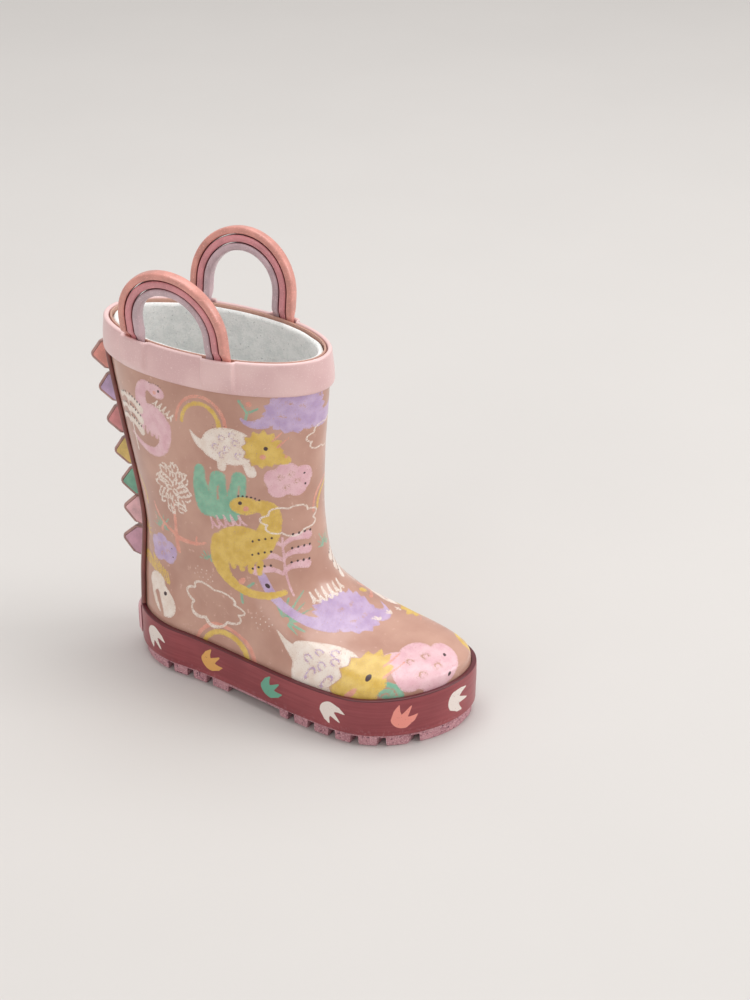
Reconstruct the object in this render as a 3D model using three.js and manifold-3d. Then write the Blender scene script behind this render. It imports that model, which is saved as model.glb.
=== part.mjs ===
// A child's rubber rain boot, right foot, with two pull handles and a row of fins down the back.
// Millimetres, +Z up, toe towards -Y, outer side of the foot towards -X.
// The upper is a stack of tilted rings that fan from the sole plan, lying flat, to the oval mouth.
// Every piece of the upper is measured from that one surface: a level up it, an angle round it
// (0 at the toe, rising towards +X, PI at the heel) and a distance out from it.
import * as THREE from 'three';
import { mergeVertices } from 'three/addons/utils/BufferGeometryUtils.js';
import { LoftGeometry } from 'three/addons/geometries/LoftGeometry.js';
import Module from 'manifold-3d';

const wasm = await Module();
wasm.setup();

// Overall sizes
const soleLength = 180;
const ballWidth = 76.2;
const heelWidth = 55.7;
const rimHeight = 177.5;
const mouthLength = 116.5;
const mouthWidth = 57;
const mouthCentre = 44; // from the back of the heel to the middle of the mouth
const soleShift = -5.5; // the sole plan stands this far to the outer side of the shaft
const toeTurn = 9; // and its toe bends back this far to the inner side
const heelRoundShare = 0.193; // the sole plan's heel is round over this share of its length
const ballShare = 0.75; // and it is widest here
const instepAhead = 100; // from the back of the heel to the front of the shaft at the instep
const instepUp = 85;
const instepBackUp = 98; // the same ring at the back of the shaft

// Sheet and strip thicknesses, and the gap that glued pieces keep in this model
const gap = 0.3;
const shellWall = 1.6;
const liningWall = 1.2;
const stiffenerWall = 1;
const bandWall = 2.2;
const collarWall = 2.1;
const labelWall = 1.2;
const labelMiddle = Math.PI - 0.16; // its angle round the heel, a little to the inner side
const labelHalf = 0.5; // in radians
const labelLow = -0.103; // its levels
const labelHigh = -0.017;

// Sole unit
const outsoleHeight = 6.4;
const outsoleInset = 1.9; // from the outside of the foxing band
const archHeight = 3.6;
const archStart = 66;
const archEnd = 99;
const slotWidth = 4;
const slotDepth = 4.4;
const slotPitch = 12;
const heelSlots = 3;
const firstHeelSlot = 30;
const ballSlots = 6;
const firstBallSlot = 106;
const bandTop = 28;
const bandDip = 3.2; // the band's top edge is this much lower at the waist
const fillerHeight = 3.4;
const boardHeight = 1.5;
const sockHeight = 3;
const sockEase = 0.5; // the sock is cut this much smaller than the lining

// Collar, anchors and pull handles
const collarHeight = 16;
const ribWidth = 3.7;
const ribDepth = 5;
const ribGroove = 0.3;
const ribCount = 3;
const handleCentre = 40.2; // from the back of the heel
const handleHalfSpan = 29.3;
const handleHeight = 40; // above the rim
const handleSide = 28.3; // from the middle plane of the shaft
const handleLean = 0.14; // outwards, in radians
const anchorWall = 2;
const anchorDrop = 3; // from the rim to the top of the anchor, where the handle leg is set in
const anchorDepth = 10;
const pocketFlat = 2.8; // the collar bulges this far past the anchor before it falls back
const pocketFall = 3;

// Back strip and fins
const stripWidth = 19;
const stripWall = 2;
const pipingWidth = 1.7;
const stripMargin = 0.8; // from the foxing band, and from the collar
const finCount = 7;
const finLowest = 44.5; // the foot of the lowest fin, above the ground
const finMargin = 0.7; // from the collar
const finStandOff = 0.5; // from the strip, which is faceted
const finReach = 13.6;
const finThickness = 5;
const finBorder = 1.6;
const finSeam = 0.6; // the border is this wide where a fin meets its neighbour
const finNotch = 6.2; // neighbours part this far out from the strip
const finTipRadius = 2.8;
const finTipShare = 0.48; // how far up its pitch a fin has its tip
const finTaper = 0.75; // a fin narrows by this much at each side between its root and the notch
const faceThickness = 1.2;
const facePocket = 1.2;

// Levels up the shell: 0 is the top of the foxing band and 1 the rim
const levelOfFeather = -0.12;
const levelOfSolePlan = -0.06;
const levelOfShaft = 0.62;
const levelOfCollar = 0.93;
const liningLow = -0.082;
const liningTop = 0.99;

// Facets, and how far a cutter carries on past a surface
const overcut = 1;
const around = 44;
const collarAround = 3 * around;

const bandReach = bandWall + gap; // the foxing band's outside stands this far out of the shell
const featherLength = soleLength - 2 * bandReach;
const featherLow = outsoleHeight + gap;
const collarFoot = rimHeight - collarHeight;
const finHighest = collarFoot - finMargin;
const finPitch = (finHighest - finLowest) / finCount;

const clamp = THREE.MathUtils.clamp;
const lerp = THREE.MathUtils.lerp;
const smooth = (t) => THREE.MathUtils.smoothstep(t, 0, 1);

// Half width of the sole plan, as a share of the half width at the ball. The argument is a share of the
// plan's length, from the heel.
function soleHalf(share) {
  const heel = (heelWidth - 2 * bandReach) / (ballWidth - 2 * bandReach);
  if (share < heelRoundShare) {
    return heel * Math.sqrt(Math.max(0, 1 - ((heelRoundShare - share) / heelRoundShare) ** 2));
  }
  if (share < ballShare) {
    return lerp(heel, 1, smooth((share - heelRoundShare) / (ballShare - heelRoundShare)));
  }
  return Math.sqrt(Math.max(0, 1 - ((share - ballShare) / (1 - ballShare)) ** 2));
}

function soleCentre(share) {
  return soleShift + toeTurn * clamp((share - ballShare) / (1 - ballShare), 0, 1) ** 2;
}

// The rings of the shell's outside: where each meets the middle plane in front (distance from the back of
// the heel, height) and behind, its half width, and how far its sides dip.
const toe = soleLength - bandReach;
const ball = ballWidth / 2 - bandReach;
const tube = mouthWidth / 2;
const shaft = collarFoot - instepUp;
const backShaft = collarFoot - instepBackUp;
const mouthFront = mouthCentre + mouthLength / 2;
const mouthBack = mouthCentre - mouthLength / 2;
const ringKeys = ['level', 'front', 'frontUp', 'back', 'backUp', 'half', 'dip'];
const stations = [
  [levelOfFeather, toe, featherLow, bandReach, featherLow, ball, 0.2],
  [0, toe, bandTop, bandReach, bandTop, ball, bandDip],
  [0.1, toe - 3, bandTop + 6.5, 2, bandTop + 10, ball - 2.2, 2.6],
  [0.22, toe - 20, bandTop + 10.5, 1.5, bandTop + 20, ball - 4.3, 1.4],
  [0.34, toe - 47, bandTop + 15.5, 2, bandTop + 32, ball - 5.6, 0.4],
  [0.47, instepAhead + 7.5, bandTop + 29, 2, bandTop + 47, tube + 0.8, 0],
  [levelOfShaft, instepAhead, instepUp, -2.2, instepBackUp, tube + 0.9, 0],
  [0.8, instepAhead + 0.3, instepUp + 0.5 * shaft, -8.8, instepBackUp + 0.48 * backShaft, tube + 1.2, 0],
  [levelOfCollar, mouthFront + 1.2, collarFoot, mouthBack - 0.8, collarFoot, tube + 1.2, 0],
  [1, mouthFront, rimHeight, mouthBack, rimHeight, tube, 0],
].map((row) => Object.fromEntries(ringKeys.map((key, i) => [key, row[i]])));

// The ring at any level: a smooth curve through the stations, with slopes from their neighbours.
function ringAt(level) {
  let i = 0;
  while (i < stations.length - 2 && level > stations[i + 1].level) i += 1;
  const last = stations.length - 1;
  const [before, a, b, after] = [i - 1, i, i + 1, i + 2].map((k) => stations[clamp(k, 0, last)]);
  const step = b.level - a.level;
  const t = (level - a.level) / step;
  const ring = {};
  for (const key of ringKeys.slice(1)) {
    const slopeA = ((b[key] - before[key]) / (b.level - before.level)) * step;
    const slopeB = ((after[key] - a[key]) / (after.level - a.level)) * step;
    ring[key] = (2 * t ** 3 - 3 * t ** 2 + 1) * a[key] + (t ** 3 - 2 * t ** 2 + t) * slopeA
      + (3 * t ** 2 - 2 * t ** 3) * b[key] + (t ** 3 - t ** 2) * slopeB;
  }
  return ring;
}

function shellPoint(level, angle) {
  const ring = ringAt(level);
  const share = (1 + Math.cos(angle)) / 2;
  const oval = smooth(clamp(level / levelOfShaft, 0, 1));
  const half = ring.half * lerp(soleHalf(share), Math.abs(Math.sin(angle)), oval);
  const ahead = lerp(ring.back, ring.front, share);
  const up = lerp(ring.backUp, ring.frontUp, share) - ring.dip * 4 * share * (1 - share);
  return new THREE.Vector3((1 - oval) * soleCentre(share) + Math.sign(Math.sin(angle)) * half, -ahead, up);
}

// A point this far out from the shell's outside, along the surface's own normal.
function pointOut(level, angle, out) {
  const small = 0.002;
  const round = shellPoint(level, angle + small).sub(shellPoint(level, angle - small));
  const rise = shellPoint(level + small, angle).sub(shellPoint(level - small, angle));
  return shellPoint(level, angle).addScaledVector(round.cross(rise).normalize(), out);
}

// The level at which the back of the shell reaches a height.
function levelAtBack(up) {
  let low = 0;
  let high = 1;
  for (let i = 0; i < 30; i += 1) {
    const middle = (low + high) / 2;
    if (ringAt(middle).backUp < up) low = middle;
    else high = middle;
  }
  return low;
}

// The angle on the +X side at which the mouth is this far forward of the heel.
function mouthAngle(ahead) {
  return Math.acos((2 * (ahead - mouthBack)) / mouthLength - 1);
}

// A closed surface with its shared points joined and its faces out.
function closed(geometry) {
  const bare = new THREE.BufferGeometry();
  bare.setAttribute('position', geometry.attributes.position);
  bare.setIndex(geometry.index);
  return mergeVertices(bare, 1e-4);
}

function ring(level, out, count = around) {
  return Array.from({ length: count }, (_, i) => {
    const angle = (2 * Math.PI * i) / count;
    return pointOut(level, angle, typeof out === 'function' ? out(angle) : out);
  });
}

// A tube with a wall: rings up the outside and down the inside, back to the first.
function wall(levels, inner, outer, count = around) {
  const outside = levels.map((level) => ring(level, outer, count));
  const inside = levels.map((level) => ring(level, inner, count)).reverse();
  return closed(new LoftGeometry([...outside, ...inside, outside[0]]));
}

// A patch of sheet between two angles, with the same cross-section at every level.
function patch(levels, angles, inner, outer) {
  const sections = levels.map((level) => [
    ...angles.map((angle) => pointOut(level, angle, outer)),
    ...angles.map((angle) => pointOut(level, angle, inner)).reverse(),
  ]);
  return closed(new LoftGeometry(sections, { capStart: true, capEnd: true }));
}

// A flat slab in the plan of the sole, grown or shrunk by `out`.
function slab(out, bottom, top) {
  const plan = ring(levelOfSolePlan, out);
  const at = (up) => plan.map((p) => new THREE.Vector3(p.x, p.y, up));
  return closed(new LoftGeometry([at(bottom), at(top)], { capStart: true, capEnd: true }));
}

function spread(from, to, count) {
  return Array.from({ length: count }, (_, i) => lerp(from, to, i / (count - 1)));
}

// The angles of the shell's own facets, this many to each side of a middle one.
function fan(middle, steps) {
  const reach = (2 * Math.PI * steps) / around;
  return spread(middle - reach, middle + reach, 2 * steps + 1);
}

function solidOf(geometry) {
  const mesh = new wasm.Mesh({
    numProp: 3,
    vertProperties: new Float32Array(geometry.attributes.position.array),
    triVerts: new Uint32Array(geometry.index.array),
  });
  return new wasm.Manifold(mesh);
}

function cut(geometry, cutters) {
  let solid = solidOf(geometry);
  for (const cutter of cutters) solid = solid.subtract(solidOf(closed(cutter)));
  const mesh = solid.getMesh();
  const result = new THREE.BufferGeometry();
  result.setAttribute('position', new THREE.BufferAttribute(mesh.vertProperties, 3));
  result.setIndex(new THREE.BufferAttribute(mesh.triVerts, 1));
  return result;
}

const boot = new THREE.Group();
boot.name = 'rain_boot';

function add(name, geometry, color, roughness, parent = boot) {
  const material = new THREE.MeshStandardMaterial({ color, roughness, metalness: 0 });
  const mesh = new THREE.Mesh(geometry, material);
  mesh.name = name;
  parent.add(mesh);
  return mesh;
}

// Outsole: one moulded slab, its underside cut by the arch and by the slots between the lugs.
function outsole() {
  const across = 2 * ballWidth;
  const trench = (middle, width, height) => {
    const box = new THREE.BoxGeometry(across, width, 2 * height);
    box.translate(0, -middle, 0);
    return box;
  };
  const cutters = [trench((archStart + archEnd) / 2, archEnd - archStart, archHeight)];
  for (const [first, count] of [[firstHeelSlot, heelSlots], [firstBallSlot, ballSlots]]) {
    for (let i = 0; i < count; i += 1) cutters.push(trench(first + i * slotPitch, slotWidth, slotDepth));
  }
  return cut(slab(bandReach - outsoleInset, 0, outsoleHeight), cutters);
}

add('outsole', outsole(), 0xbe8c91, 0.75);

// Midsole filler and insole board lie inside the shell's lower margin.
const insideShell = -(shellWall + gap);
const fillerTop = featherLow + fillerHeight;
const boardTop = fillerTop + gap + boardHeight;
add('midsole_filler', slab(insideShell, featherLow, fillerTop), 0x9a8478, 0.9);
add('insole_board', slab(insideShell, fillerTop + gap, boardTop), 0xb59f86, 0.9);

// Shell: one sheet of printed rubber, lasted round the filler and the board.
const footLevels = [0.05, 0.1, 0.16, 0.22, 0.28, 0.34, 0.405, 0.47, 0.545, levelOfShaft];
const shellLevels = [levelOfFeather, 0, ...footLevels, 0.71, 0.8, levelOfCollar, 1];
add('upper_shell', wall(shellLevels, -shellWall, 0), 0xbe8f7e, 0.35);

// Lining: a knit sock inside the shell, standing off it by the thickness of the stiffeners.
const liningOut = insideShell - stiffenerWall - gap;
const liningIn = liningOut - liningWall;
const sockTop = boardTop + gap + sockHeight;
const liningLevels = [liningLow, 0, ...footLevels.slice(1), 0.8, liningTop];
add('lining', wall(liningLevels, liningIn, liningOut), 0xd5d3d2, 0.95);
add('insole_sock', slab(liningIn - gap - sockEase, boardTop + gap, sockTop), 0xcfcac6, 0.95);

// Toe puff and heel counter: stiffeners cemented between shell and lining.
const stiffenerInner = insideShell - stiffenerWall;
const puffLevels = [0, ...footLevels.slice(0, 3)];
const counterLevels = [0, ...footLevels.slice(0, 5)];
add('toe_puff', patch(puffLevels, fan(0, 8), stiffenerInner, insideShell), 0xd9c9a8, 0.9);
add('heel_counter', patch(counterLevels, fan(Math.PI, 7), stiffenerInner, insideShell), 0xd9c9a8, 0.9);

// Foxing band: a strip of rubber wrapped round the shell's lower margin.
add('foxing_band', wall([levelOfFeather, levelOfSolePlan, 0], gap, bandReach), 0x924a4c, 0.45);

// Heel label: a small rubber patch on the band.
const labelLevels = spread(labelLow, labelHigh, 3);
const labelAngles = spread(labelMiddle - labelHalf, labelMiddle + labelHalf, 9);
const labelIn = bandReach + gap;
add('heel_label', patch(labelLevels, labelAngles, labelIn, labelIn + labelWall), 0xe3aeb0, 0.5);

// Collar: a strip round the mouth that bulges over the handle anchors.
const ribPitch = ribWidth + ribGroove;
const legMiddle = handleHalfSpan - ribWidth / 2 - ribPitch;
const legHalf = (ribCount * ribPitch) / 2;
const legAngles = [handleCentre + legMiddle, handleCentre - legMiddle].map(mouthAngle);
const perRadian = (angle) => (mouthLength / 2) * Math.sin(angle);

function pocket(angle) {
  const folded = Math.min(angle, 2 * Math.PI - angle);
  const rise = legAngles.map((leg) => {
    const away = Math.abs(folded - leg) * perRadian(leg) - legHalf;
    return 1 - smooth(clamp((away - pocketFlat) / pocketFall, 0, 1));
  });
  return (anchorWall + gap) * Math.max(...rise);
}

const collarLevels = spread(levelOfCollar, 1, 3);
const collarIn = (angle) => gap + pocket(angle);
const collarOut = (angle) => collarIn(angle) + collarWall;
add('top_band', wall(collarLevels, collarIn, collarOut, collarAround), 0xe8cfcf, 0.4);

// Handle anchors: the flat ends of the handle legs, glued between shell and collar.
const levelBelowRim = (drop) => 1 - (drop / collarHeight) * (1 - levelOfCollar);
const anchorLevels = spread(levelBelowRim(anchorDrop + anchorDepth), levelBelowRim(anchorDrop), 3);
const sides = [{ side: 'outer', sign: -1 }, { side: 'inner', sign: 1 }];
for (const { side, sign } of sides) {
  legAngles.forEach((leg, i) => {
    const half = (legHalf - gap) / perRadian(leg);
    const middle = sign > 0 ? leg : 2 * Math.PI - leg;
    const anchorAngles = spread(middle - half, middle + half, 5);
    const geometry = patch(anchorLevels, anchorAngles, gap, gap + anchorWall);
    add(`handle_anchor_${side}_${i === 0 ? 'front' : 'rear'}`, geometry, 0xc9a3a8, 0.6);
  });
}

// Pull handles: three ribs side by side, each a leg, a half circle and a leg. Each leg's foot is rounded
// about the line that the handle bends on, which runs fore and aft just above the rim.
const hingeUp = rimHeight + gap + ribDepth / 2;
const legHeight = handleHeight - handleHalfSpan - (hingeUp - rimHeight);

function rib(radius) {
  const side = [[-0.5, -1], [-1, -0.5], [-1, 0.5], [-0.5, 1]];
  const corners = [...side, ...side.map(([a, b]) => [-a, -b])];
  const section = (place, across, thick) => corners.map(([a, b]) => {
    const offset = (a * ribWidth) / 2;
    return new THREE.Vector3((b * thick) / 2, place.x + across.x * offset, place.y + across.y * offset);
  });
  const leg = (sign) => [0.95, 0.7, 0].map((drop) => {
    const place = new THREE.Vector2(sign * radius, (-drop * ribDepth) / 2);
    return section(place, new THREE.Vector2(sign, 0), ribDepth * Math.sqrt(1 - drop ** 2));
  });
  const bend = spread(0, Math.PI, 15).map((turn) => {
    const out = new THREE.Vector2(Math.cos(turn), Math.sin(turn));
    const place = out.clone().multiplyScalar(radius).add(new THREE.Vector2(0, legHeight));
    return section(place, out, ribDepth);
  });
  const sections = [...leg(1), ...bend, ...leg(-1).reverse()];
  return closed(new LoftGeometry(sections, { capStart: true, capEnd: true }));
}

const ribs = [
  { name: 'outer_rib', color: 0xe59a8c },
  { name: 'middle_rib', color: 0xe08a93 },
  { name: 'inner_rib', color: 0xc4a8b0 },
];
for (const { side, sign } of sides) {
  const handle = new THREE.Group();
  handle.position.set(sign * handleSide, -handleCentre, hingeUp);
  handle.rotation.y = sign * handleLean;
  boot.add(handle);
  ribs.forEach(({ name, color }, i) => {
    add(`handle_${side}_${name}`, rib(handleHalfSpan - ribWidth / 2 - i * ribPitch), color, 0.4, handle);
  });
}

// Back strip and the two piping cords along its edges.
const stripLow = levelAtBack(bandTop + stripMargin);
const stripTop = levelAtBack(collarFoot - stripMargin);
const stripLevels = spread(stripLow, stripTop, 16);
const sideAngle = (across) => Math.asin((2 * across) / mouthWidth);
const stripHalf = sideAngle(stripWidth / 2);
const pipingNear = sideAngle(stripWidth / 2 + gap);
const pipingFar = sideAngle(stripWidth / 2 + gap + pipingWidth);
const stripPatch = (angles) => patch(stripLevels, angles, gap, gap + stripWall);
const innerEdge = spread(Math.PI - pipingFar, Math.PI - pipingNear, 3);
const outerEdge = spread(Math.PI + pipingNear, Math.PI + pipingFar, 3);
add('back_strip', stripPatch(spread(Math.PI - stripHalf, Math.PI + stripHalf, 7)), 0x8f5a48, 0.45);
add('back_piping_inner', stripPatch(innerEdge), 0xd79682, 0.5);
add('back_piping_outer', stripPatch(outerEdge), 0x7d3f3a, 0.5);

// Fins: a rubber core with a pocket in each side, and a coloured face in each pocket.
// The outline in the middle plane (distance out from the strip, height): side by side with its neighbours as
// far as the notch, then two flanks that touch a round tip. `border` shrinks it along the flanks and `seam`
// along the straight edges. It starts `root` out from the strip, and `past` carries it back from there.
function finShape(border, seam, root, past = 0) {
  const tip = new THREE.Vector2(finReach - finTipRadius, finPitch * finTipShare);
  const flank = (notch, turn) => {
    const away = tip.clone().sub(notch);
    const heading = away.angle() - turn * Math.asin(finTipRadius / away.length());
    return new THREE.Vector2(Math.sin(heading), -Math.cos(heading)).multiplyScalar(turn);
  };
  const low = gap + seam;
  const high = finPitch - gap - seam;
  const lowNormal = flank(new THREE.Vector2(finNotch, gap), 1);
  const highNormal = flank(new THREE.Vector2(finNotch, finPitch - gap), -1);
  const round = finTipRadius - border;
  const along = (normal, up) => tip.x + (round - (up - tip.y) * normal.y) / normal.x;
  const shape = new THREE.Shape();
  shape.moveTo(root - past, low);
  if (past > 0) shape.lineTo(root, low);
  shape.lineTo(along(lowNormal, low + finTaper), low + finTaper);
  shape.absarc(tip.x, tip.y, round, lowNormal.angle() - 2 * Math.PI, highNormal.angle(), false);
  shape.lineTo(along(highNormal, high - finTaper), high - finTaper);
  shape.lineTo(root, high);
  if (past > 0) shape.lineTo(root - past, high);
  return shape;
}

function plate(shape, thickness, middle) {
  const sweep = { depth: thickness, bevelEnabled: false, curveSegments: 4 };
  const geometry = new THREE.ExtrudeGeometry(shape, sweep);
  geometry.translate(0, 0, middle - thickness / 2);
  const backward = new THREE.Vector3(0, 1, 0);
  const upward = new THREE.Vector3(0, 0, 1);
  geometry.applyMatrix4(new THREE.Matrix4().makeBasis(backward, upward, new THREE.Vector3(1, 0, 0)));
  return closed(geometry);
}

const faceMiddle = finThickness / 2 - facePocket + gap + faceThickness / 2;
const pocketMiddle = finThickness / 2 - facePocket / 2 + overcut / 2;

function finCore() {
  const pocketShape = finShape(finBorder, finSeam, 0, overcut);
  const pockets = [-1, 1].map((sign) => plate(pocketShape, facePocket + overcut, sign * pocketMiddle));
  return cut(plate(finShape(0, 0, 0), finThickness, 0), pockets);
}

const finColors = [0xec9c8e, 0xcea5c4, 0xdf9690, 0xebc86e, 0x78b496, 0xf1bec4, 0xdba9b8];
for (let i = 0; i < finCount; i += 1) {
  const foot = levelAtBack(finHighest - (i + 1) * finPitch);
  const head = levelAtBack(finHighest - i * finPitch);
  const standOff = gap + stripWall + finStandOff;
  const base = pointOut(foot, Math.PI, standOff);
  const upward = pointOut(head, Math.PI, standOff).sub(base).normalize();
  const sideways = new THREE.Vector3(0, 1, 0).cross(upward).normalize();
  const fin = new THREE.Group();
  fin.position.copy(base);
  const backward = upward.clone().cross(sideways);
  fin.rotation.setFromRotationMatrix(new THREE.Matrix4().makeBasis(sideways, backward, upward));
  boot.add(fin);
  add(`fin_${i + 1}_core`, finCore(), 0xa8807c, 0.5, fin);
  for (const { side, sign } of sides) {
    const face = plate(finShape(finBorder + gap, finSeam + gap, gap), faceThickness, sign * faceMiddle);
    add(`fin_${i + 1}_face_${side}`, face, finColors[i], 0.45, fin);
  }
}

// The origin is the middle of the footprint, on the ground.
const box = new THREE.Box3().setFromObject(boot, true);
const middle = box.getCenter(new THREE.Vector3());
boot.position.set(-middle.x, -middle.y, -box.min.z);

export default boot;
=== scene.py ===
import math

import bpy
import numpy as np
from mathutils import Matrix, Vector


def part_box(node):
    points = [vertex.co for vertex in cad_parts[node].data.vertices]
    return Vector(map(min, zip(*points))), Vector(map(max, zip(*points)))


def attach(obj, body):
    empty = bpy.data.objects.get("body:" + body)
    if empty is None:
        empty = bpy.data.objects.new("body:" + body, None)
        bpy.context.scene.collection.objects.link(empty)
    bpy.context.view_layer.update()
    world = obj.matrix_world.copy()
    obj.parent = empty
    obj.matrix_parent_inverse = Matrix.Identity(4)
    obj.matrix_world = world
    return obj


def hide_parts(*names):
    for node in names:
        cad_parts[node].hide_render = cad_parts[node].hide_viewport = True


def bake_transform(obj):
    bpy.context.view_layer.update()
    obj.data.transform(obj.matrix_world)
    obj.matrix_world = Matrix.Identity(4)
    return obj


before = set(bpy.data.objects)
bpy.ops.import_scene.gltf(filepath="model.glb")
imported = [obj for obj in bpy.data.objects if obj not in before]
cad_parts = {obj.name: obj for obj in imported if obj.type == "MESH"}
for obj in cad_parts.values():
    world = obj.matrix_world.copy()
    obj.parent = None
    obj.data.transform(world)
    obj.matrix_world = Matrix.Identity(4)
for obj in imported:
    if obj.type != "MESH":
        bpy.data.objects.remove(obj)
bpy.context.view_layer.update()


# ---- View, floor and light ---------------------------------------------------------------------------
# A pale studio floor under broad soft lamps. The camera looks down on the toe and the outer side of the
# boot through a long lens, with the boot low and to the left of the view.

camera_place = Vector((-0.7295, -0.4739, 0.5658))
camera_look = Vector((0.7638, 0.4366, -0.4753))
camera_lens = 73.93

camera = bpy.data.objects.new("camera", bpy.data.cameras.new("camera"))
camera.data.lens = camera_lens
camera.data.sensor_width = 36
camera.data.clip_start = 0.01
camera.location = camera_place
camera.rotation_euler = camera_look.to_track_quat("-Z", "Y").to_euler()
bpy.context.scene.collection.objects.link(camera)
bpy.context.scene.camera = camera
bpy.context.scene.view_settings.view_transform = "Standard"
boot_middle = Vector((0, 0, 0.09))


def colour(red, green, blue):
    """A colour given in screen values of 0 to 255, as the light values that shaders use."""
    screen = np.array([red, green, blue]) / 255
    light = np.where(screen <= 0.04045, screen / 12.92, ((screen + 0.055) / 1.055) ** 2.4)
    return (*light, 1.0)


class Shade:
    """One socket of a finish's nodes, so that sums on the surface are written as Python sums."""

    def __init__(self, tree, socket=None):
        self.tree = tree
        self.socket = socket

    def node(self, kind, settings=None, values=None, output=0):
        """Adds a node: its settings first, then the values or links of its sockets, by name or number."""
        made = self.tree.nodes.new("ShaderNode" + kind)
        for key, value in (settings or {}).items():
            setattr(made, key, value)
        for key, value in (values or {}).items():
            self.feed(made.inputs[key], value)
        return Shade(self.tree, made.outputs[output])

    def feed(self, socket, value):
        if isinstance(value, Shade):
            self.tree.links.new(value.socket, socket)
        else:
            socket.default_value = value

    def sum(self, operation, first, second=0.0):
        return self.node("Math", {"operation": operation}, {0: first, 1: second})

    def __add__(self, other):
        return self.sum("ADD", self, other)

    def __sub__(self, other):
        return self.sum("SUBTRACT", self, other)

    def __rsub__(self, other):
        return self.sum("SUBTRACT", other, self)

    def __mul__(self, other):
        return self.sum("MULTIPLY", self, other)

    __radd__ = __add__
    __rmul__ = __mul__

    def most(self, other):
        return self.sum("MAXIMUM", self, other)

    def size(self):
        return self.sum("ABSOLUTE", self)

    def ramp(self, low, high):
        """0 where the value is at `low`, 1 where it is at `high`, with soft ends."""
        return self.node("MapRange", {"interpolation_type": "SMOOTHSTEP"},
                         {"Value": self, "From Min": low, "From Max": high})

    def blend(self, first, second):
        """`first` where this mask is 0 and `second` where it is 1: colours, or shades of colour."""
        return self.node("Mix", {"data_type": "RGBA"}, {0: self, 6: first, 7: second}, output=2)


class Finish(Shade):
    """A material: the nodes that colour, roughen and emboss one of the boot's surfaces."""

    def __init__(self, name, roughness=0.5, coat=0.0, coat_roughness=0.2, sheen=0.0, specular=0.5):
        self.material = bpy.data.materials.new(name)
        self.material.use_nodes = True
        super().__init__(self.material.node_tree)
        self.surface = self.tree.nodes["Principled BSDF"]
        self.put("Roughness", roughness)
        self.put("Coat Weight", coat)
        self.put("Coat Roughness", coat_roughness)
        self.put("Sheen Weight", sheen)
        self.put("Specular IOR Level", specular)

    def put(self, socket, value):
        self.feed(self.surface.inputs[socket], value)

    def place(self):
        return self.node("TexCoord", output=3)

    def noise(self, grain, detail=3.0, rough=0.5, stretch=(1, 1, 1)):
        """Cloudy noise from 0 to 1 whose patches are about `grain` millimetres across."""
        where = self.node("Mapping", {}, {"Vector": self.place(), "Scale": stretch})
        values = {"Vector": where, "Scale": 1000 / grain, "Detail": detail, "Roughness": rough}
        return self.node("TexNoise", {}, values)

    def cells(self, grain, feature="F1"):
        """The distance from the nearest of many scattered spots that lie about `grain` millimetres apart."""
        return self.node("TexVoronoi", {"feature": feature}, {"Vector": self.place(), "Scale": 1000 / grain})

    def painted(self, name):
        """A number that the mesh carries at every point under this name."""
        return self.node("Attribute", {"attribute_name": name}, output=2)

    def emboss(self, height, millimetres, strength=1.0):
        bump = self.node("Bump", {}, {"Strength": strength, "Distance": millimetres / 1000, "Height": height})
        self.put("Normal", bump)


floor_finish = Finish("studio_floor", roughness=0.85, specular=0.2)
floor_tone = floor_finish.noise(140, detail=4)
floor_finish.put("Base Color", floor_tone.blend(colour(212, 209, 206), colour(216, 213, 210)))
floor_finish.emboss(floor_finish.noise(3), 0.05)

floor_half = 30.0
floor_mesh = bpy.data.meshes.new("studio_floor")
floor_corners = [(-floor_half, -floor_half, 0), (floor_half, -floor_half, 0),
                 (floor_half, floor_half, 0), (-floor_half, floor_half, 0)]
floor_mesh.from_pydata(floor_corners, [], [(0, 1, 2, 3)])
floor_mesh.materials.append(floor_finish.material)
studio_floor = bpy.data.objects.new("studio_floor", floor_mesh)
bpy.context.scene.collection.objects.link(studio_floor)

room = bpy.data.worlds.new("studio_room")
room.use_nodes = True
room.node_tree.nodes["Background"].inputs["Color"].default_value = colour(243, 240, 238)
room.node_tree.nodes["Background"].inputs["Strength"].default_value = 0.60
bpy.context.scene.world = room


def soft_lamp(name, place, size, watts):
    """A square lamp with a broad face, aimed at the middle of the boot's shaft."""
    lamp = bpy.data.lights.new(name, "AREA")
    lamp.size = size
    lamp.energy = watts
    made = bpy.data.objects.new(name, lamp)
    made.location = place
    aim = boot_middle - Vector(place)
    made.rotation_euler = aim.to_track_quat("-Z", "Y").to_euler()
    bpy.context.scene.collection.objects.link(made)


soft_lamp("lamp_over", (0.3, 0.1, 1.9), 1.5, 21)
soft_lamp("lamp_front", (0.7, -1.7, 1.0), 1.0, 15)
soft_lamp("lamp_side", (-1.9, 0.3, 1.0), 1.2, 6)


# ---- Outsole -----------------------------------------------------------------------------------------
# The moulded rubber tread: one slab of stippled dusty pink rubber under the whole foot. Slots cut
# across its underside leave lugs at the heel and the ball, and the waist is raised off the ground.

MM = 0.001
shaft_middle = sum(corner[0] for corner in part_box("top_band")) / 2 / MM
heel_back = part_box("foxing_band")[1][1] / MM
sole_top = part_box("outsole")[1][2] / MM
mouth_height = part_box("upper_shell")[1][2] / MM
collar_height = 16
collar_foot = mouth_height - collar_height
mouth_back, mouth_length = -14.25, 116.5
gap = 0.3
band_reach = 2.5
feather_low = sole_top + gap
band_top = 28
instep, instep_up, back_up = 100, 85, 98
tube_half = 28.5
feather_level, plan_level, level_of_shaft, level_of_collar = -0.12, -0.06, 0.62, 0.93
sole_half_width = 35.6
sole_length = heel_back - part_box("foxing_band")[0][1] / MM
toe_ahead = sole_length - band_reach
heel_share, ball_share = 0.193, 0.75
sole_shift, toe_turn = -5.5, 9

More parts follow.
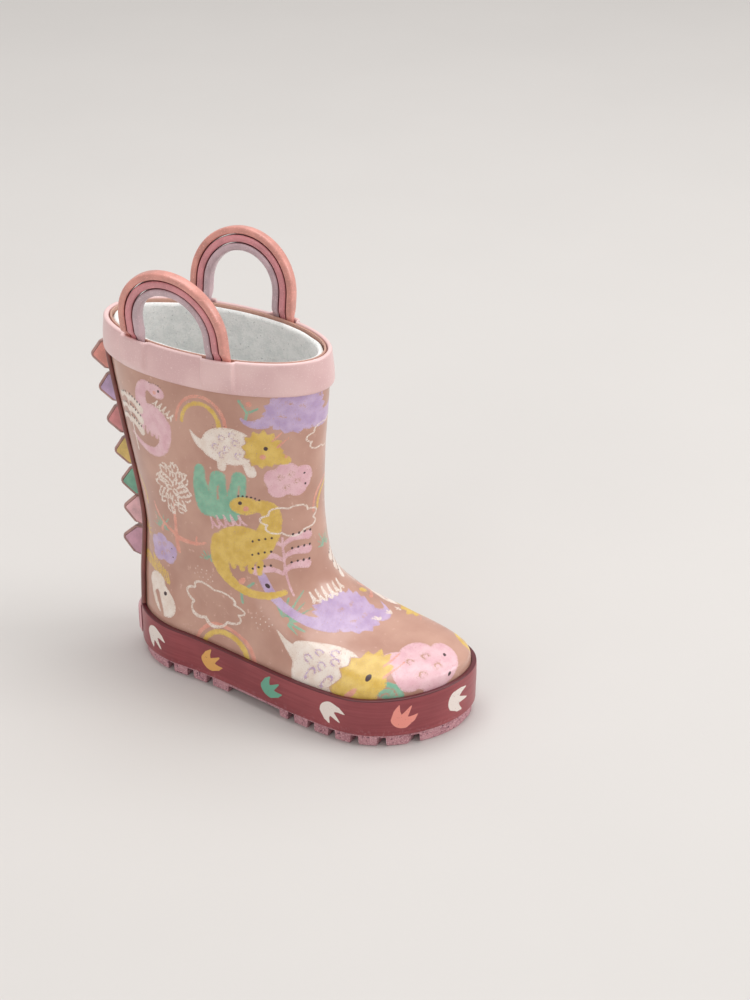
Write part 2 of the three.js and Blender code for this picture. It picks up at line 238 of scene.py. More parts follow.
# The boot's rings from the sole's edge to the mouth: level, then where the ring meets the middle plane in
# front and behind (ahead of the heel's back, height), its half width, and how far its sides dip.
shaft_rise, back_rise = collar_foot - instep_up, collar_foot - back_up
rings = np.array([
    [feather_level, toe_ahead, feather_low, band_reach, feather_low, sole_half_width, 0.2],
    [0.0, toe_ahead, band_top, band_reach, band_top, sole_half_width, 3.2],
    [0.1, toe_ahead - 3, band_top + 6.5, 2, band_top + 10, sole_half_width - 2.2, 2.6],
    [0.22, toe_ahead - 20, band_top + 10.5, 1.5, band_top + 20, sole_half_width - 4.3, 1.4],
    [0.34, toe_ahead - 47, band_top + 15.5, 2, band_top + 32, sole_half_width - 5.6, 0.4],
    [0.47, instep + 7.5, band_top + 29, 2, band_top + 47, tube_half + 0.8, 0],
    [level_of_shaft, instep, instep_up, -2.2, back_up, tube_half + 0.9, 0],
    [0.8, instep + 0.3, instep_up + 0.5 * shaft_rise, -8.8, back_up + 0.48 * back_rise, tube_half + 1.2, 0],
    [level_of_collar, mouth_back + mouth_length + 1.2, collar_foot, mouth_back - 0.8, collar_foot,
     tube_half + 1.2, 0],
    [1.0, mouth_back + mouth_length, mouth_height, mouth_back, mouth_height, tube_half, 0],
])
heel_ratio = 50.7 / 71.2  # the heel's width over the ball's


def smooth(share):
    """The S-shaped step from 0 to 1 as `share` goes from 0 to 1."""
    share = np.clip(share, 0, 1)
    return share * share * (3 - 2 * share)


def ring_at(level):
    """The ring at any level: a cubic through the rings above, with slopes taken from their neighbours."""
    at, values = rings[:, 0], rings[:, 1:]
    slope = np.gradient(values, at, axis=0)
    slope[1:-1] = (values[2:] - values[:-2]) / (at[2:] - at[:-2])[:, None]
    level = np.clip(level, at[0], at[-1])
    low = np.clip(np.searchsorted(at, level, side="right") - 1, 0, len(at) - 2)
    step = (at[low + 1] - at[low])[..., None]
    t = (level - at[low])[..., None] / step
    return ((2 * t**3 - 3 * t**2 + 1) * values[low] + (t**3 - 2 * t**2 + t) * step * slope[low]
            + (3 * t**2 - 2 * t**3) * values[low + 1] + (t**3 - t**2) * step * slope[low + 1])


def sole_half(share):
    """Half width of the sole's plan from heel (0) to toe (1): an elliptic heel, an S to the ball, an
    elliptic toe."""
    heel = heel_ratio * np.sqrt(np.clip(1 - ((heel_share - share) / heel_share) ** 2, 0, 1))
    waist = heel_ratio + (1 - heel_ratio) * smooth((share - heel_share) / (ball_share - heel_share))
    toe = np.sqrt(np.clip(1 - ((share - ball_share) / (1 - ball_share)) ** 2, 0, 1))
    return np.where(share < heel_share, heel, np.where(share < ball_share, waist, toe))


def shell_point(level, angle):
    """A point on the boot's outside. The angle turns from the toe towards the inner side; the ring turns
    from the sole's plan at the bottom into an ellipse at the shaft."""
    level, angle = np.broadcast_arrays(np.asarray(level, float), np.asarray(angle, float))
    front, front_up, back, back_up, half, dip = np.moveaxis(ring_at(level), -1, 0)
    share = (1 + np.cos(angle)) / 2
    oval = smooth(level / level_of_shaft)
    side = half * ((1 - oval) * sole_half(share) + oval * np.abs(np.sin(angle)))
    middle = sole_shift + toe_turn * np.clip((share - ball_share) / (1 - ball_share), 0, 1) ** 2
    across = (1 - oval) * middle + np.sign(np.sin(angle)) * side
    ahead = back + (front - back) * share
    up = back_up + (front_up - back_up) * share - dip * 4 * share * (1 - share)
    return np.stack([across + shaft_middle, heel_back - ahead, up], -1)


def shell_out(level, angle, out=0.0):
    """A point `out` millimetres from the boot's outside, along the surface's own normal."""
    level, angle, out = np.broadcast_arrays(level, angle, out)
    small = 0.002
    round_way = shell_point(level, angle + small) - shell_point(level, angle - small)
    up_way = shell_point(level + small, angle) - shell_point(level - small, angle)
    normal = np.cross(round_way, up_way)
    normal /= np.linalg.norm(normal, axis=-1, keepdims=True)
    return shell_point(level, angle) + normal * out[..., None]


def grid_mesh(name, points, wrap_rows=False, wrap_columns=True, ends=False, numbers=None, sharp=40):
    """A mesh with a quad between each four neighbours in a rows x columns grid of points (millimetres),
    which may wrap round either way; `ends` closes the first and last row with a fan. Its faces point out."""
    rows, columns = points.shape[:2]
    place = np.arange(rows * columns).reshape(rows, columns)
    if wrap_rows:
        place = np.vstack([place, place[:1]])
    if wrap_columns:
        place = np.hstack([place, place[:, :1]])
    quads = np.stack([place[:-1, :-1], place[:-1, 1:], place[1:, 1:], place[1:, :-1]], -1).reshape(-1, 4)
    flat = points.reshape(-1, 3)
    fans = np.empty((0, 3), int)
    if ends:
        middles = np.array([points[0].mean(0), points[-1].mean(0)])
        first, last = place[0], place[-1]
        hub = len(flat)
        flat = np.vstack([flat, middles])
        fans = np.vstack([np.stack([first[1:], first[:-1], np.full(len(first) - 1, hub)], -1),
                          np.stack([last[:-1], last[1:], np.full(len(last) - 1, hub + 1)], -1)])
    corners = np.vstack([quads[:, [0, 1, 2]], quads[:, [0, 2, 3]], fans])
    a, b, c = flat[corners[:, 0]], flat[corners[:, 1]], flat[corners[:, 2]]
    if np.einsum("ij,ij->", a, np.cross(b, c)) < 0:
        quads, fans = quads[:, ::-1], fans[:, ::-1]
    mesh = bpy.data.meshes.new(name)
    mesh.vertices.add(len(flat))
    mesh.vertices.foreach_set("co", (flat * MM).astype(np.float32).ravel())
    loops = np.concatenate([quads.ravel(), fans.ravel()])
    mesh.loops.add(len(loops))
    mesh.loops.foreach_set("vertex_index", loops.astype(np.int32))
    mesh.polygons.add(len(quads) + len(fans))
    starts = np.concatenate([np.arange(len(quads)) * 4, quads.size + np.arange(len(fans)) * 3])
    mesh.polygons.foreach_set("loop_start", starts.astype(np.int32))
    mesh.update(calc_edges=True)
    mesh.validate()
    mesh.polygons.foreach_set("use_smooth", np.ones(len(mesh.polygons), bool))
    mesh.set_sharp_from_angle(angle=math.radians(sharp))
    for key, values in (numbers or {}).items():
        kept = np.zeros(len(flat), np.float32)
        kept[:values.size] = values.ravel()
        mesh.attributes.new(key, "FLOAT", "POINT").data.foreach_set("value", kept)
    return mesh


def add_piece(name, mesh, finish, replaced, body="boot"):
    """Puts a finished mesh in the scene, in place of the CAD nodes that it stands for."""
    mesh.materials.append(finish.material)
    made = bpy.data.objects.new(name, mesh)
    bpy.context.scene.collection.objects.link(made)
    if body:
        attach(made, body)
    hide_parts(*replaced)
    return made


outsole_inset = 1.9
arch_start, arch_end, arch_height = 66, 99, 3.6
slot_pitch, slot_half, slot_depth = 12, 2, 4.4
heel_slots, ball_slots = (30, 3), (106, 6)  # the middle of the first slot, and how many there are
lip, draft, clear, worn_corner, toe_round = 0.45, 0.12, 0.7, 0.7, 1.2


def outsole_points():
    """Sections across the sole from heel to toe. Each is a box as wide as the plan there, from the tread's
    underside to its top, with its lower corners taken off; a slot is a run of sections with a high floor."""
    plan_angle = np.linspace(0, math.pi, 600)
    inner = shell_out(plan_level, plan_angle, band_reach - outsole_inset)
    outer = shell_out(plan_level, -plan_angle, band_reach - outsole_inset)
    low_y, high_y = inner[:, 1].min() + 0.02, inner[:, 1].max() - 0.02
    body = (low_y + high_y) / 2 - (high_y - low_y) / 2 * np.cos(np.linspace(0.02, math.pi - 0.02, 110))
    walls = [(arch_start, arch_end, arch_height)]
    for first, count in (heel_slots, ball_slots):
        middles = [first + slot_pitch * i for i in range(count)]
        walls += [(middle - slot_half, middle + slot_half, slot_depth) for middle in middles]
    y, floor = [body], [np.zeros_like(body)]
    for start, end, depth in walls:
        ahead = heel_back - y[0]
        keep = (ahead < start - clear) | (ahead > end + clear)
        inside = ~keep & (ahead > start + clear) & (ahead < end - clear)
        floor[0] = np.where(inside, depth, floor[0])
        y[0], floor[0] = y[0][keep | inside], floor[0][keep | inside]
        steps = [(-lip, 0), (-draft, lip * 0.6), (draft, depth - 0.1), (lip, depth)]
        for at, height in steps:
            y.append(np.array([heel_back - start - at, heel_back - end + at]))
            floor.append(np.array([height, height]))
    y, floor = np.concatenate(y), np.concatenate(floor)
    order = np.argsort(y)
    y, floor = y[order], floor[order]
    right = np.interp(y, inner[:, 1], inner[:, 0])
    left = np.interp(y, outer[:, 1], outer[:, 0])
    from_end = np.minimum(y - low_y, high_y - y)
    rounding = toe_round * (1 - np.sqrt(np.clip(1 - (1 - from_end / toe_round) ** 2, 0, 1)))
    floor = floor + np.where((floor < 1) & (from_end < toe_round), rounding, 0)
    corner = np.minimum(worn_corner, (right - left) / 4)
    across = np.linspace(0, 1, 14)
    under = left[:, None] + corner[:, None] + (right - left - 2 * corner)[:, None] * across
    sections = [np.stack([under, np.repeat(y[:, None], 14, 1), np.repeat(floor[:, None], 14, 1)], -1)]
    side_up = np.array([0.0, 0.3, 0.65, 1.0])
    low = floor + corner * 0.8
    for edge, climb in ((right, side_up), (left, side_up[::-1])):
        rise = low[:, None] + (sole_top - low)[:, None] * climb
        across, along = np.repeat(edge[:, None], 4, 1), np.repeat(y[:, None], 4, 1)
        sections.append(np.stack([across, along, rise], -1))
    return np.concatenate(sections, 1)


def stippled_rubber(name, light, dark, grain_highlight):
    """Pebbled moulded rubber: fine raised grains, a painted highlight on each top, over darker hollows."""
    rubber = Finish(name, roughness=0.62, specular=0.35)
    grains = rubber.cells(0.75)
    cloud = rubber.noise(9)
    tone = cloud.ramp(0.3, 0.7).blend(dark, light)
    # Painted highlight: a paler colour on the top of each raised grain.
    tone = grains.ramp(0.5, 0.2).blend(tone, grain_highlight)
    tone = rubber.noise(1.1, detail=2).ramp(0.60, 0.68).blend(tone, colour(120, 78, 92))
    rubber.put("Base Color", tone)
    rubber.put("Roughness", cloud * 0.2 + 0.5)
    rubber.emboss(1 - grains, 0.22, 0.8)
    return rubber


outsole_finish = stippled_rubber("stippled_pink_rubber", colour(205, 150, 158), colour(178, 122, 132),
                                 colour(226, 184, 190))
outsole_mesh = grid_mesh("tread_sole", outsole_points(), ends=True, sharp=28)
add_piece("tread_sole", outsole_mesh, outsole_finish, ["outsole"])


# ---- Midsole filler and insole board -----------------------------------------------------------------
# A sheet of blown rubber and a board of pressed fibre, cut to the sole's plan. They are cemented inside
# the shell's lower margin and are seen only when the boot is taken apart.

def dress(finish, *nodes):
    """Gives parts that keep their CAD shape this finish."""
    for node in nodes:
        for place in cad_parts[node].material_slots:
            place.material = finish.material


def pressed_sheet(name, light, dark, grain, depth):
    """A matt sheet with a cloudy colour and a rough, open grain."""
    sheet = Finish(name, roughness=0.9, specular=0.2)
    tone = sheet.noise(grain * 6).ramp(0.3, 0.7).blend(dark, light)
    tone = sheet.noise(grain).ramp(0.55, 0.7).blend(tone, light)
    sheet.put("Base Color", tone)
    sheet.emboss(sheet.noise(grain, detail=5), depth)
    return sheet


dress(pressed_sheet("blown_rubber", colour(160, 134, 122), colour(128, 104, 96), 1.2, 0.3), "midsole_filler")
dress(pressed_sheet("fibre_board", colour(190, 165, 136), colour(160, 134, 106), 0.5, 0.08), "insole_board")


# ---- Upper shell -------------------------------------------------------------------------------------
# One sheet of glossy dusty pink-tan rubber drawn over the last and vulcanised, with its playful print
# under a clear varnish. The mesh carries, for every ink, the distance from the edge of that ink.

shell_wall = 1.6
wrap_columns, wrap_rows, hidden_rows, inside_rows = 430, 200, 8, 14
mouth_round = 0.35
motif_reach_round, motif_reach_up = 40, 34


def even_steps(points, count):
    """Fractions from 0 to 1 that cut a sampled line into `count` parts of equal length."""
    reach = np.concatenate([[0], np.cumsum(np.linalg.norm(np.diff(points, axis=0), axis=1))])
    return np.interp(np.linspace(0, reach[-1], count), reach, np.linspace(0, 1, len(reach)))


turn_samples = np.linspace(-math.pi, math.pi, 1441)
wrap_angle = -math.pi + 2 * math.pi * even_steps(shell_point(0.3, turn_samples), wrap_columns + 1)[:-1]
rise_samples = np.linspace(0, level_of_collar + 0.01, 400)
front_steps = even_steps(shell_point(rise_samples, -0.3 * np.ones(400)), wrap_rows)
side_steps = even_steps(shell_point(rise_samples, -1.9 * np.ones(400)), wrap_rows)
wrap_level = rise_samples[-1] * (front_steps + side_steps) / 2

wrap = shell_point(wrap_level[:, None], wrap_angle[None, :])
round_steps = np.linalg.norm(np.roll(wrap, -1, axis=1) - wrap, axis=2)
round_length = np.hstack([np.zeros((wrap_rows, 1)), np.cumsum(round_steps, axis=1)])
up_steps = np.linalg.norm(np.diff(wrap, axis=0), axis=2)
up_length = np.vstack([np.zeros((1, wrap_columns)), np.cumsum(up_steps, axis=0)])

INKS = ("mint", "lilac", "blush", "mustard", "coral", "cream", "dark")
far_off = 4.0
print_edges = {ink: np.full(wrap.shape[:2], far_off) for ink in INKS}


def oval(u, v, x, y, a, b, turn=0.0):
    """Distance from an ellipse about (x, y) with half axes a and b, turned by `turn` degrees."""
    c, s = math.cos(math.radians(turn)), math.sin(math.radians(turn))
    p, q = (u - x) * c + (v - y) * s, (v - y) * c - (u - x) * s
    k = np.hypot(p / a, q / b)
    return k * (k - 1) / np.maximum(np.hypot(p / a**2, q / b**2), 1e-6)


def stroke(u, v, line, thick, end=None):
    """Distance from a brush stroke along a line of points, `thick` wide at its start and `end` at its end."""
    line = np.asarray(line, float)
    end = thick if end is None else end
    half = np.linspace(thick, end, len(line)) / 2
    best = np.full(u.shape, 99.0)
    for (x0, y0), (x1, y1), r0, r1 in zip(line[:-1], line[1:], half[:-1], half[1:]):
        dx, dy = x1 - x0, y1 - y0
        t = np.clip(((u - x0) * dx + (v - y0) * dy) / max(dx * dx + dy * dy, 1e-9), 0, 1)
        best = np.minimum(best, np.hypot(u - x0 - t * dx, v - y0 - t * dy) - (r0 + (r1 - r0) * t))
    return best


def sweep(*points, steps=12):
    """A smooth curve pulled by its control points (a Bezier curve of as many points as are given)."""
    t = np.linspace(0, 1, steps)[:, None]
    last = len(points) - 1
    weights = [math.comb(last, i) * t**i * (1 - t) ** (last - i) for i in range(last + 1)]
    return sum(w * np.array(p, float) for w, p in zip(weights, points))


def outline(u, v, corners):
    """Signed distance from a closed shape given by its corners."""
    corners = np.asarray(corners, float)
    edge = stroke(u, v, np.vstack([corners, corners[:1]]), 0.0)
    inside = np.zeros(u.shape, bool)
    for (x0, y0), (x1, y1) in zip(corners, np.roll(corners, -1, axis=0)):
        if y0 != y1:
            inside ^= ((y0 > v) != (y1 > v)) & (u < (x1 - x0) * (v - y0) / (y1 - y0) + x0)
    return np.where(inside, -edge, edge)


def joined(*shapes):
    return np.minimum.reduce(shapes)


def arc(x, y, reach, start, end, squash=1.0, steps=14):
    turn = np.radians(np.linspace(start, end, steps))
    return np.stack([x + reach * np.cos(turn), y + reach * squash * np.sin(turn)], -1)


def dots(u, v, places, size):
    return joined(*[np.hypot(u - x, v - y) - size / 2 for x, y in places])


def comb(start, end, count, height, lean=0.0):
    """A row of narrow hand-drawn loops standing along a line, as one stroke that never lifts."""
    steps = np.linspace(0, 1, count * 12)
    base = np.array(start)[None, :] * (1 - steps[:, None]) + np.array(end)[None, :] * steps[:, None]
    way = (np.array(end) - np.array(start)) / math.hypot(*(np.array(end) - np.array(start)))
    across = np.array([-way[1], way[0]])
    phase = steps * count * 2 * math.pi
    lift = (1 - np.cos(phase)) / 2 * height * (0.75 + 0.25 * np.sin(math.pi * steps))
    return base + across * lift[:, None] + way * (lean * lift + 0.5 * np.sin(phase))[:, None]


def long_neck(u, v, body="mustard", mane="blush"):
    """A long-necked animal on four stub legs, its tail swept under it, with a looped mane on its back."""
    torso = oval(u, v, -1.5, -1, 12, 9.5, 14)
    neck = stroke(u, v, sweep((6, 0), (13, 9), (11, 22), (2, 19)), 12, 5.5)
    head = oval(u, v, -2.5, 18.3, 6.6, 4.3, 8)
    tail = stroke(u, v, sweep((-10, -2), (-14, -24), (2, -27), (19, -19)), 10, 2.4)
    legs = joined(*[stroke(u, v, [(x, -7), (x + 0.3, -11.6)], 3.4, 2.6) for x in (-4.2, -0.2, 3.8, 7.8)])
    loops = comb((-15, 3.5), (0, 9.5), 5, 6.0, -0.2)
    row = [(-6 + 1.8 * i, 22.9 - 0.1 * (i - 2.5) ** 2) for i in range(6)]
    eye = joined(np.hypot(u + 4.6, v - 19.2) - 0.9, dots(u, v, row, 1.1))
    cheek = np.hypot(u + 1.6, v - 17.2) - 1.3
    return [(body, joined(torso, neck, head, tail, legs)), (mane, stroke(u, v, loops, 0.95)),
            ("coral", cheek), ("dark", eye)]


def horned(u, v, body="cream", face="mustard"):
    """A round-backed animal with a spiky frill, three horns and freckles."""
    torso = joined(oval(u, v, -4, 0.5, 14, 9.6), oval(u, v, -5, -3, 13, 6))
    tail = stroke(u, v, sweep((-13, -1), (-19, -4), (-24.5, 4)), 9, 0.8)
    legs = joined(stroke(u, v, [(-7.5, -7), (-7.5, -11)], 4.6), stroke(u, v, [(5, -7), (7, -11.5)], 5.2))
    turn = np.linspace(0, 2 * math.pi, 25)[:-1]
    reach = np.where(np.arange(24) % 2 == 0, 10.2, 8.0)
    frill = outline(u, v, np.stack([12 + reach * np.cos(turn), 1.5 + 1.05 * reach * np.sin(turn)], -1))
    snout = stroke(u, v, [(14, -1), (23.5, -3.5)], 11, 4.5)
    head = joined(frill, snout)
    horns = joined(stroke(u, v, [(19, 3.5), (24, 8.5)], 1.1, 0.7),
                   stroke(u, v, [(16.5, 6.5), (20.5, 11)], 1.1, 0.7))
    freckles = [stroke(u, v, arc(x, y, 1.5, 20, 290, steps=7), 0.55)
                for x, y in ((-8, 4), (-1, 3), (-5, -1), (0.5, -3.5), (-11, -1), (-3, 6.5), (-7.5, -4.5))]
    marks = joined(*freckles)
    shape = np.maximum(np.maximum(joined(torso, tail, legs), -(head - 0.2)), -marks)
    cheeks = joined(np.hypot(u - 12.2, v + 2.4) - 1.5, np.hypot(u - 23.2, v + 1.6) - 0.9)
    return [(body, shape), (face, head), ("lilac", marks - 0.3), ("coral", joined(horns, cheeks)),
            ("dark", np.hypot(u - 13.5, v - 2.2) - 1.1)]


def rainbow(u, v, top="coral", under="mustard", squash=1.12):
    """Two brushed arches, one inside the other."""
    outer = stroke(u, v, arc(0, -7, 13.2, 188, -4, squash), 1.5, 1.9)
    inner = stroke(u, v, arc(0, -7, 10, 184, -2, squash), 1.9, 2.4)
    return [(top, outer), (under, inner)]


def bush(u, v, ink="mint"):
    """A clump of three broad pointed leaves that share a foot."""
    leaves = [stroke(u, v, sweep((x * 0.6, -9), (x * 1.05, 0), (x, y)), 9.5, w)
              for x, y, w in ((-9.5, 8, 5), (-0.8, 6, 7.5), (8.4, 8, 6.5))]
    foot = oval(u, v, 0, -6.5, 11, 4.6)
    veins = joined(stroke(u, v, [(8.5, -3), (8.8, 4)], 0.6), stroke(u, v, [(-0.5, -4), (-0.6, 2)], 0.6))
    return [(ink, np.maximum(joined(foot, *leaves), -veins))]


def scribble_tree(u, v, crown="cream", trunk="coral"):
    """A crown of many short curved strokes round a thin branching trunk."""
    strokes = []
    for ring_no, (reach, count) in enumerate(((1.2, 5), (3.6, 11), (6.0, 16), (8.4, 21), (10.6, 24))):
        for i in range(count):
            way = 2 * math.pi * (i + 0.37 * ring_no) / count
            x, y = reach * 0.84 * math.cos(way), 4 + reach * 1.1 * math.sin(way)
            tip = way + (0.9 if (i + ring_no) % 3 else -0.7)
            bend = (x + 1.8 * math.cos(way), y + 1.8 * math.sin(way))
            end = (x + 3.2 * math.cos(tip), y + 3.2 * math.sin(tip))
            strokes.append(stroke(u, v, sweep((x, y), bend, end, steps=4), 0.95))
    stem = joined(stroke(u, v, sweep((0.4, -4), (1, -16), (0, -31)), 1.5, 3.2),
                  stroke(u, v, sweep((0, -22), (-12, -19), (-15, -10)), 2.6, 1.2),
                  stroke(u, v, sweep((0, -23), (12, -24), (19, -20)), 3.2, 1.4),
                  stroke(u, v, [(13, -23), (14, -18.5)], 1.3), stroke(u, v, [(-9, -20), (-11, -24)], 1.5))
    return [(crown, joined(*strokes)), (trunk, stem)]


def branch(u, v, ink="blush"):
    """An upright stem with three pairs of drooping leaves, each with a row of dark seeds on top."""
    parts = [stroke(u, v, sweep((0, 11), (1, 0), (4, -19)), 1.2)]
    seeds = []
    for y in (9, 1.8, -5.4):
        for side in (-1, 1):
            lift = 3.4 if side > 0 else -0.4
            leaf = sweep((0.6, y - 2.4), (side * 4, y + 1.8 + lift / 2), (side * 13, y - 1.6 + lift), steps=6)
            parts.append(stroke(u, v, leaf, 1.6, 4.6))
            seeds += [(side * d, y + 2.3 + lift * d / 11 - 0.014 * d * d) for d in (5, 8, 11, 14)]
    return [(ink, joined(*parts)), ("dark", dots(u, v, seeds, 1.35))]


def cloud_shape(u, v):
    return joined(oval(u, v, 0, -1, 11, 6), oval(u, v, -7, 1.5, 5, 5), oval(u, v, -1, 4.5, 6, 5.5),
                  oval(u, v, 6.5, 2.5, 5.5, 5.5), oval(u, v, 4, -4, 5, 4), oval(u, v, -5, -4.5, 5, 4))


def puff(u, v, ink="blush"):
    """A filled cloud with small eyes and freckles."""
    freckles = joined(*[stroke(u, v, arc(x, y, 1.1, 0, 250, steps=6), 0.5)
                        for x, y in ((-4, 2), (1, 4), (-1, -3), (4, 0))])
    eyes = dots(u, v, [(7.5, 3.6), (8.2, -2.2)], 1.2)
    return [(ink, np.maximum(cloud_shape(u, v), -freckles)), ("dark", eyes)]


def drawn_cloud(u, v, ink="cream"):
    """A cloud drawn as one wavy line."""
    turn = np.linspace(0, 2 * math.pi, 73)
    scallop = 0.94 + 0.27 * np.abs(np.sin(turn * 3.5 + 0.4)) ** 0.8 - 0.05 * np.cos(turn * 2)
    line = np.stack([15 * scallop * np.cos(turn), 7.6 * scallop * np.sin(turn)], -1)
    return [(ink, stroke(u, v, line, 1.15))]


def plated(u, v, ink="lilac", mane="cream"):
    """A low wide animal with a ragged edge, a long neck and a looped crest."""
    turn = np.linspace(0, 2 * math.pi, 33)[:-1]
    reach = np.where(np.arange(32) % 2 == 0, 1.0, 0.86)
    body = outline(u, v, np.stack([15 * reach * np.cos(turn), 10.5 * reach * np.sin(turn)], -1))
    neck = stroke(u, v, sweep((-10, -6), (-22, -9), (-27, 2), (-32, 9)), 8.5, 3.6)
    tail = stroke(u, v, sweep((12, -3), (20, -7), (24, -2)), 6, 1.2)
    loops = comb((-13, 5), (3, 11), 6, 5.5, -0.2)
    scratch = joined(*[stroke(u, v, [(x, y), (x + 2, y + 0.8)], 0.5)
                       for x, y in ((-4, 2), (2, 4), (5, -2), (-1, -4))])
    return [(ink, np.maximum(joined(body, neck, tail), -scratch)), (mane, stroke(u, v, loops, 1.0)),
            ("dark", np.hypot(u + 29.5, v - 6) - 1.0)]


def sprigs(u, v, ink="mint"):
    """A fan of loose grass blades."""
    ways = (168, 142, 116, 92, 66, 40, 14, -8)
    blades = [stroke(u, v, [(2.5 * math.cos(math.radians(w)), 2.5 * math.sin(math.radians(w))),
                            (r * math.cos(math.radians(w)), r * math.sin(math.radians(w)))], 1.5, 0.8)
              for w, r in zip(ways, (11, 10, 12, 9.5, 11, 12.5, 11, 9))]
    return [(ink, joined(*blades))]


def peeping_head(u, v, ink="cream", mane="mustard"):
    """A long face looking out, with a tuft of grass on its crown."""
    face = joined(oval(u, v, 0, -2, 10.5, 5.6, -36), oval(u, v, -5, 3.6, 5.5, 5))
    hollow = stroke(u, v, sweep((-4, -1), (-1, -5), (3, -9)), 2.6, 1.2)
    tuft = [stroke(u, v, [(x, 6.6 - 0.25 * x), (x - 2.2, 12.6 - 0.35 * x)], 0.9)
            for x in np.linspace(-8, 3, 8)]
    eye = np.hypot(u - 1.2, v - 0.6) - 1.0
    return [(ink, np.maximum(face, -hollow)), (mane, joined(*tuft)), ("dark", eye)]


def tracks(u, v, ink="cream"):
    """Three small three-toed footprints in a row."""
    toes = [stroke(u, v, [(x, y), (x + dx, y + dy)], 1.7, 1.0)
            for x, y in ((-9, 0), (-1, 1.8), (7, 0)) for dx, dy in ((-2, 1.6), (0, 2.8), (2, 1.6))]
    return [(ink, joined(*toes))]


def crumbs(u, v, ink="dark", size=0.75):
    """A scatter of small seeds."""
    places = [(7 * math.cos(2.4 * i) * math.sqrt(i / 16), 4.2 * math.sin(2.4 * i) * math.sqrt(i / 16))
              for i in range(1, 17)]
    return [(ink, dots(u, v, places, size))]


def twig(u, v, ink="mint", berry="coral"):
    """A forked twig with a round berry."""
    fork = joined(stroke(u, v, [(0, -5), (0.4, 0)], 1.4), stroke(u, v, [(0.4, 0), (-4.6, 5)], 1.3),
                  stroke(u, v, [(0.4, 0), (5, 3.4)], 1.3))
    return [(ink, fork), (berry, np.hypot(u - 0.4, v - 4.6) - 1.5)]


def leaf_stack(u, v, ink="cream"):
    """A stem of stacked pale leaves, each edged with a line of dark seeds."""
    parts = [stroke(u, v, sweep((-1, 12), (0, 0), (5, -20)), 1.3)]
    seeds = []
    for y in (10, 3.5, -3):
        broad = sweep((-1, y - 1.4), (3, y + 2), (10.5, y - 3.5), steps=7)
        narrow = sweep((-1, y - 1), (-5, y + 1.5), (-9, y - 2))
        parts += [stroke(u, v, broad, 2.8, 5.2), stroke(u, v, narrow, 2.2, 3.6)]
        seeds += [(1.5 + 2.2 * i, y + 2.3 - 0.75 * i) for i in range(5)]
        seeds += [(-3.5 - 2.2 * i, y + 1.9 - 0.8 * i) for i in range(3)]
    return [(ink, joined(*parts)), ("dark", dots(u, v, seeds, 1.35))]


def half_moon(u, v, ink="mint"):
    """A striped dome."""
    dome = np.maximum(np.hypot(u, v + 4) - 9, -(v + 4))
    stripe = joined(stroke(u, v, arc(0, -4, 5.6, 10, 170), 0.7), stroke(u, v, arc(0, -4, 2.8, 10, 170), 0.7))
    return [(ink, np.maximum(dome, -stripe))]


def print_motif(motif, degrees, level, turn=0.0, size=1.0, mirror=1, **inks):
    """Prints a motif on the shell. Its middle is at this angle and level; its own axes run round the boot
    and up it, measured along the surface, and `turn` tips it anticlockwise."""
    column = int(np.argmin(np.abs(wrap_angle - math.radians(degrees))))
    row = int(np.argmin(np.abs(wrap_level - level)))
    before, after = wrap[row, column - 1], wrap[row, (column + 1) % wrap_columns]
    round_way = (after - before) / np.linalg.norm(after - before)
    up_way = wrap[min(row + 1, wrap_rows - 1), column] - wrap[max(row - 1, 0), column]
    slant = float(round_way @ up_way / np.linalg.norm(up_way))
    whole = round_length[:, -1:]
    along = (round_length[:, :-1] - round_length[:, column:column + 1] + whole / 2) % whole - whole / 2
    climb = up_length - up_length[row]
    u, v = along + climb * slant, climb * math.sqrt(1 - slant * slant)
    c, s = math.cos(math.radians(turn)), math.sin(math.radians(turn))
    u, v = (u * c + v * s) / size * mirror, (v * c - u * s) / size
    near = (np.abs(u) < motif_reach_round) & (np.abs(v) < motif_reach_up)
    for ink, edge in motif(u[near], v[near], **inks):
        print_edges[ink][near] = np.minimum(print_edges[ink][near], np.clip(edge * size, -far_off, far_off))


